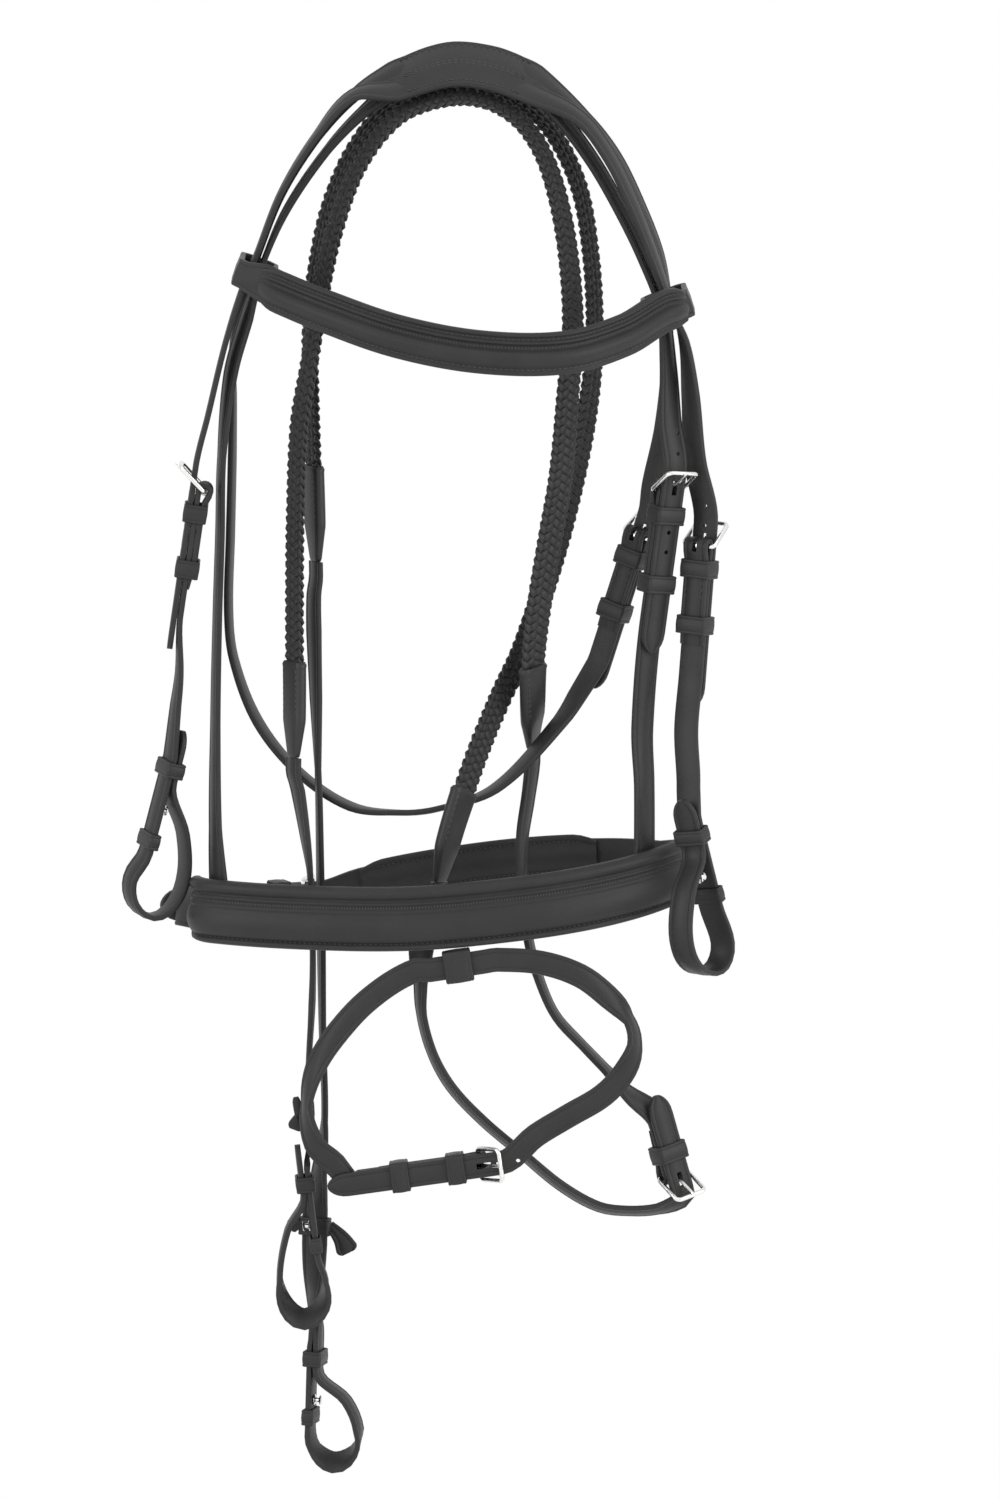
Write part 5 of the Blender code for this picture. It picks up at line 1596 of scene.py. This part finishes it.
# %% [markdown]
# ## Camera, light and floor
#
# The photo was taken from the front and a little above with a long lens, on pure white. The
# camera stands nine metres off. Three large soft lamps give the leather its long satin
# highlights. The floor takes the shadow and is otherwise as white as the backdrop.

# %% Camera
photo_width = 1000
photo_height = 1500
camera_distance = 9.0
sensor_width = 36.0
aim_across = 0.030
aim_height = -0.3876

camera_back = Vector((0.0, -math.cos(sight), math.sin(sight)))
camera_up = Vector((0.0, math.sin(sight), math.cos(sight)))
aim = Vector((aim_across, 0.0, 0.0)) + camera_up * aim_height
camera_data = bpy.data.cameras.new("camera")
camera_data.sensor_width = sensor_width
camera_data.lens = sensor_width * camera_distance / (photo_height * layout_unit)
camera_data.clip_end = 100.0
camera = bpy.data.objects.new("camera", camera_data)
bpy.context.collection.objects.link(camera)
camera.location = aim + camera_back * camera_distance
camera.rotation_euler = (math.radians(90.0 - sight_angle_deg), 0.0, 0.0)
scene = bpy.context.scene
scene.camera = camera
scene.render.resolution_x = photo_width
scene.render.resolution_y = photo_height
print("lens", round(camera_data.lens), "mm")

# %% Lamps
lamp_aim = Vector((0.0, 0.0, -0.42))
for name, at, wide, high, watts in (
    ("left_softbox", (-1.9, -1.3, 0.35), 1.1, 1.9, 17.0),
    ("right_softbox", (1.9, -1.1, 0.25), 1.1, 1.9, 22.0),
    ("top_softbox", (0.0, -0.5, 1.7), 1.6, 1.0, 4.0),
    ("front_softbox", (-0.5, -3.0, 0.6), 1.8, 1.8, 7.0),
):
    data = bpy.data.lights.new(name, "AREA")
    data.shape = "RECTANGLE"
    data.size = wide
    data.size_y = high
    data.energy = watts
    lamp = bpy.data.objects.new(name, data)
    bpy.context.collection.objects.link(lamp)
    lamp.location = at
    lamp.rotation_euler = (lamp_aim - Vector(at)).to_track_quat("-Z", "Y").to_euler()
    lamp.visible_camera = False
print("lamps", [item.name for item in bpy.data.lights])

# %% Floor and backdrop
WHITE = (1.0, 1.0, 1.0, 1.0)
FLOOR_PAINT = (0.86, 0.86, 0.86, 1.0)
floor_height = -0.88
floor_size = 30.0
near_whiteness = 0.90
fade_start = 0.15
fade_end = 0.75
fill_strength = 0.95


def seen_by_camera(made, whiteness, plain, glow, output):
    """Join two shaders to an output: the glow as the camera sees it, the plain one for light."""
    seen = made.node("ShaderNodeLightPath", out="Is Camera Ray") * whiteness
    mixed = made.node("ShaderNodeMixShader", None, {0: seen, 1: plain, 2: glow})
    made.node(output, None, {"Surface": mixed})


def floor_finish():
    """Plain white: to the camera it fades into the backdrop, with the shadow kept near by."""
    made = Finish(bpy.data.materials.new("white_floor"))
    inputs = {"Vector": made.place()}
    across = made.node("ShaderNodeSeparateXYZ", None, inputs, out="X")
    deep = made.node("ShaderNodeSeparateXYZ", None, inputs, out="Y")
    square = across * across + deep * deep
    distance = square.math("SQRT", square)
    whiteness = near_whiteness + (1.0 - near_whiteness) * distance.over(fade_start, fade_end)
    plain = made.node("ShaderNodeBsdfDiffuse", None, {"Color": FLOOR_PAINT})
    glow = made.node("ShaderNodeEmission", None, {"Color": WHITE, "Strength": 1.0})
    seen_by_camera(made, whiteness, plain, glow, "ShaderNodeOutputMaterial")
    return made.owner


bm = bmesh.new()
bmesh.ops.create_grid(bm, x_segments=2, y_segments=2, size=floor_size)
bmesh.ops.translate(bm, verts=bm.verts[:], vec=(0.0, 0.0, floor_height))
add_object("floor", bm, floor_finish())

made = Finish(bpy.data.worlds.new("white_world"))
fill = made.node("ShaderNodeBackground", None, {"Color": WHITE, "Strength": fill_strength})
backdrop = made.node("ShaderNodeBackground", None, {"Color": WHITE, "Strength": 1.0})
seen_by_camera(made, 1.0, fill, backdrop, "ShaderNodeOutputWorld")
scene.world = made.owner
scene.view_settings.view_transform = "Standard"
scene.view_settings.look = "None"
scene.view_settings.exposure = 0.0
scene.view_settings.gamma = 1.0
print("floor at", floor_height)

# %% [markdown]
# ## The end
#
# The dressed model has to stay the size of the CAD model.
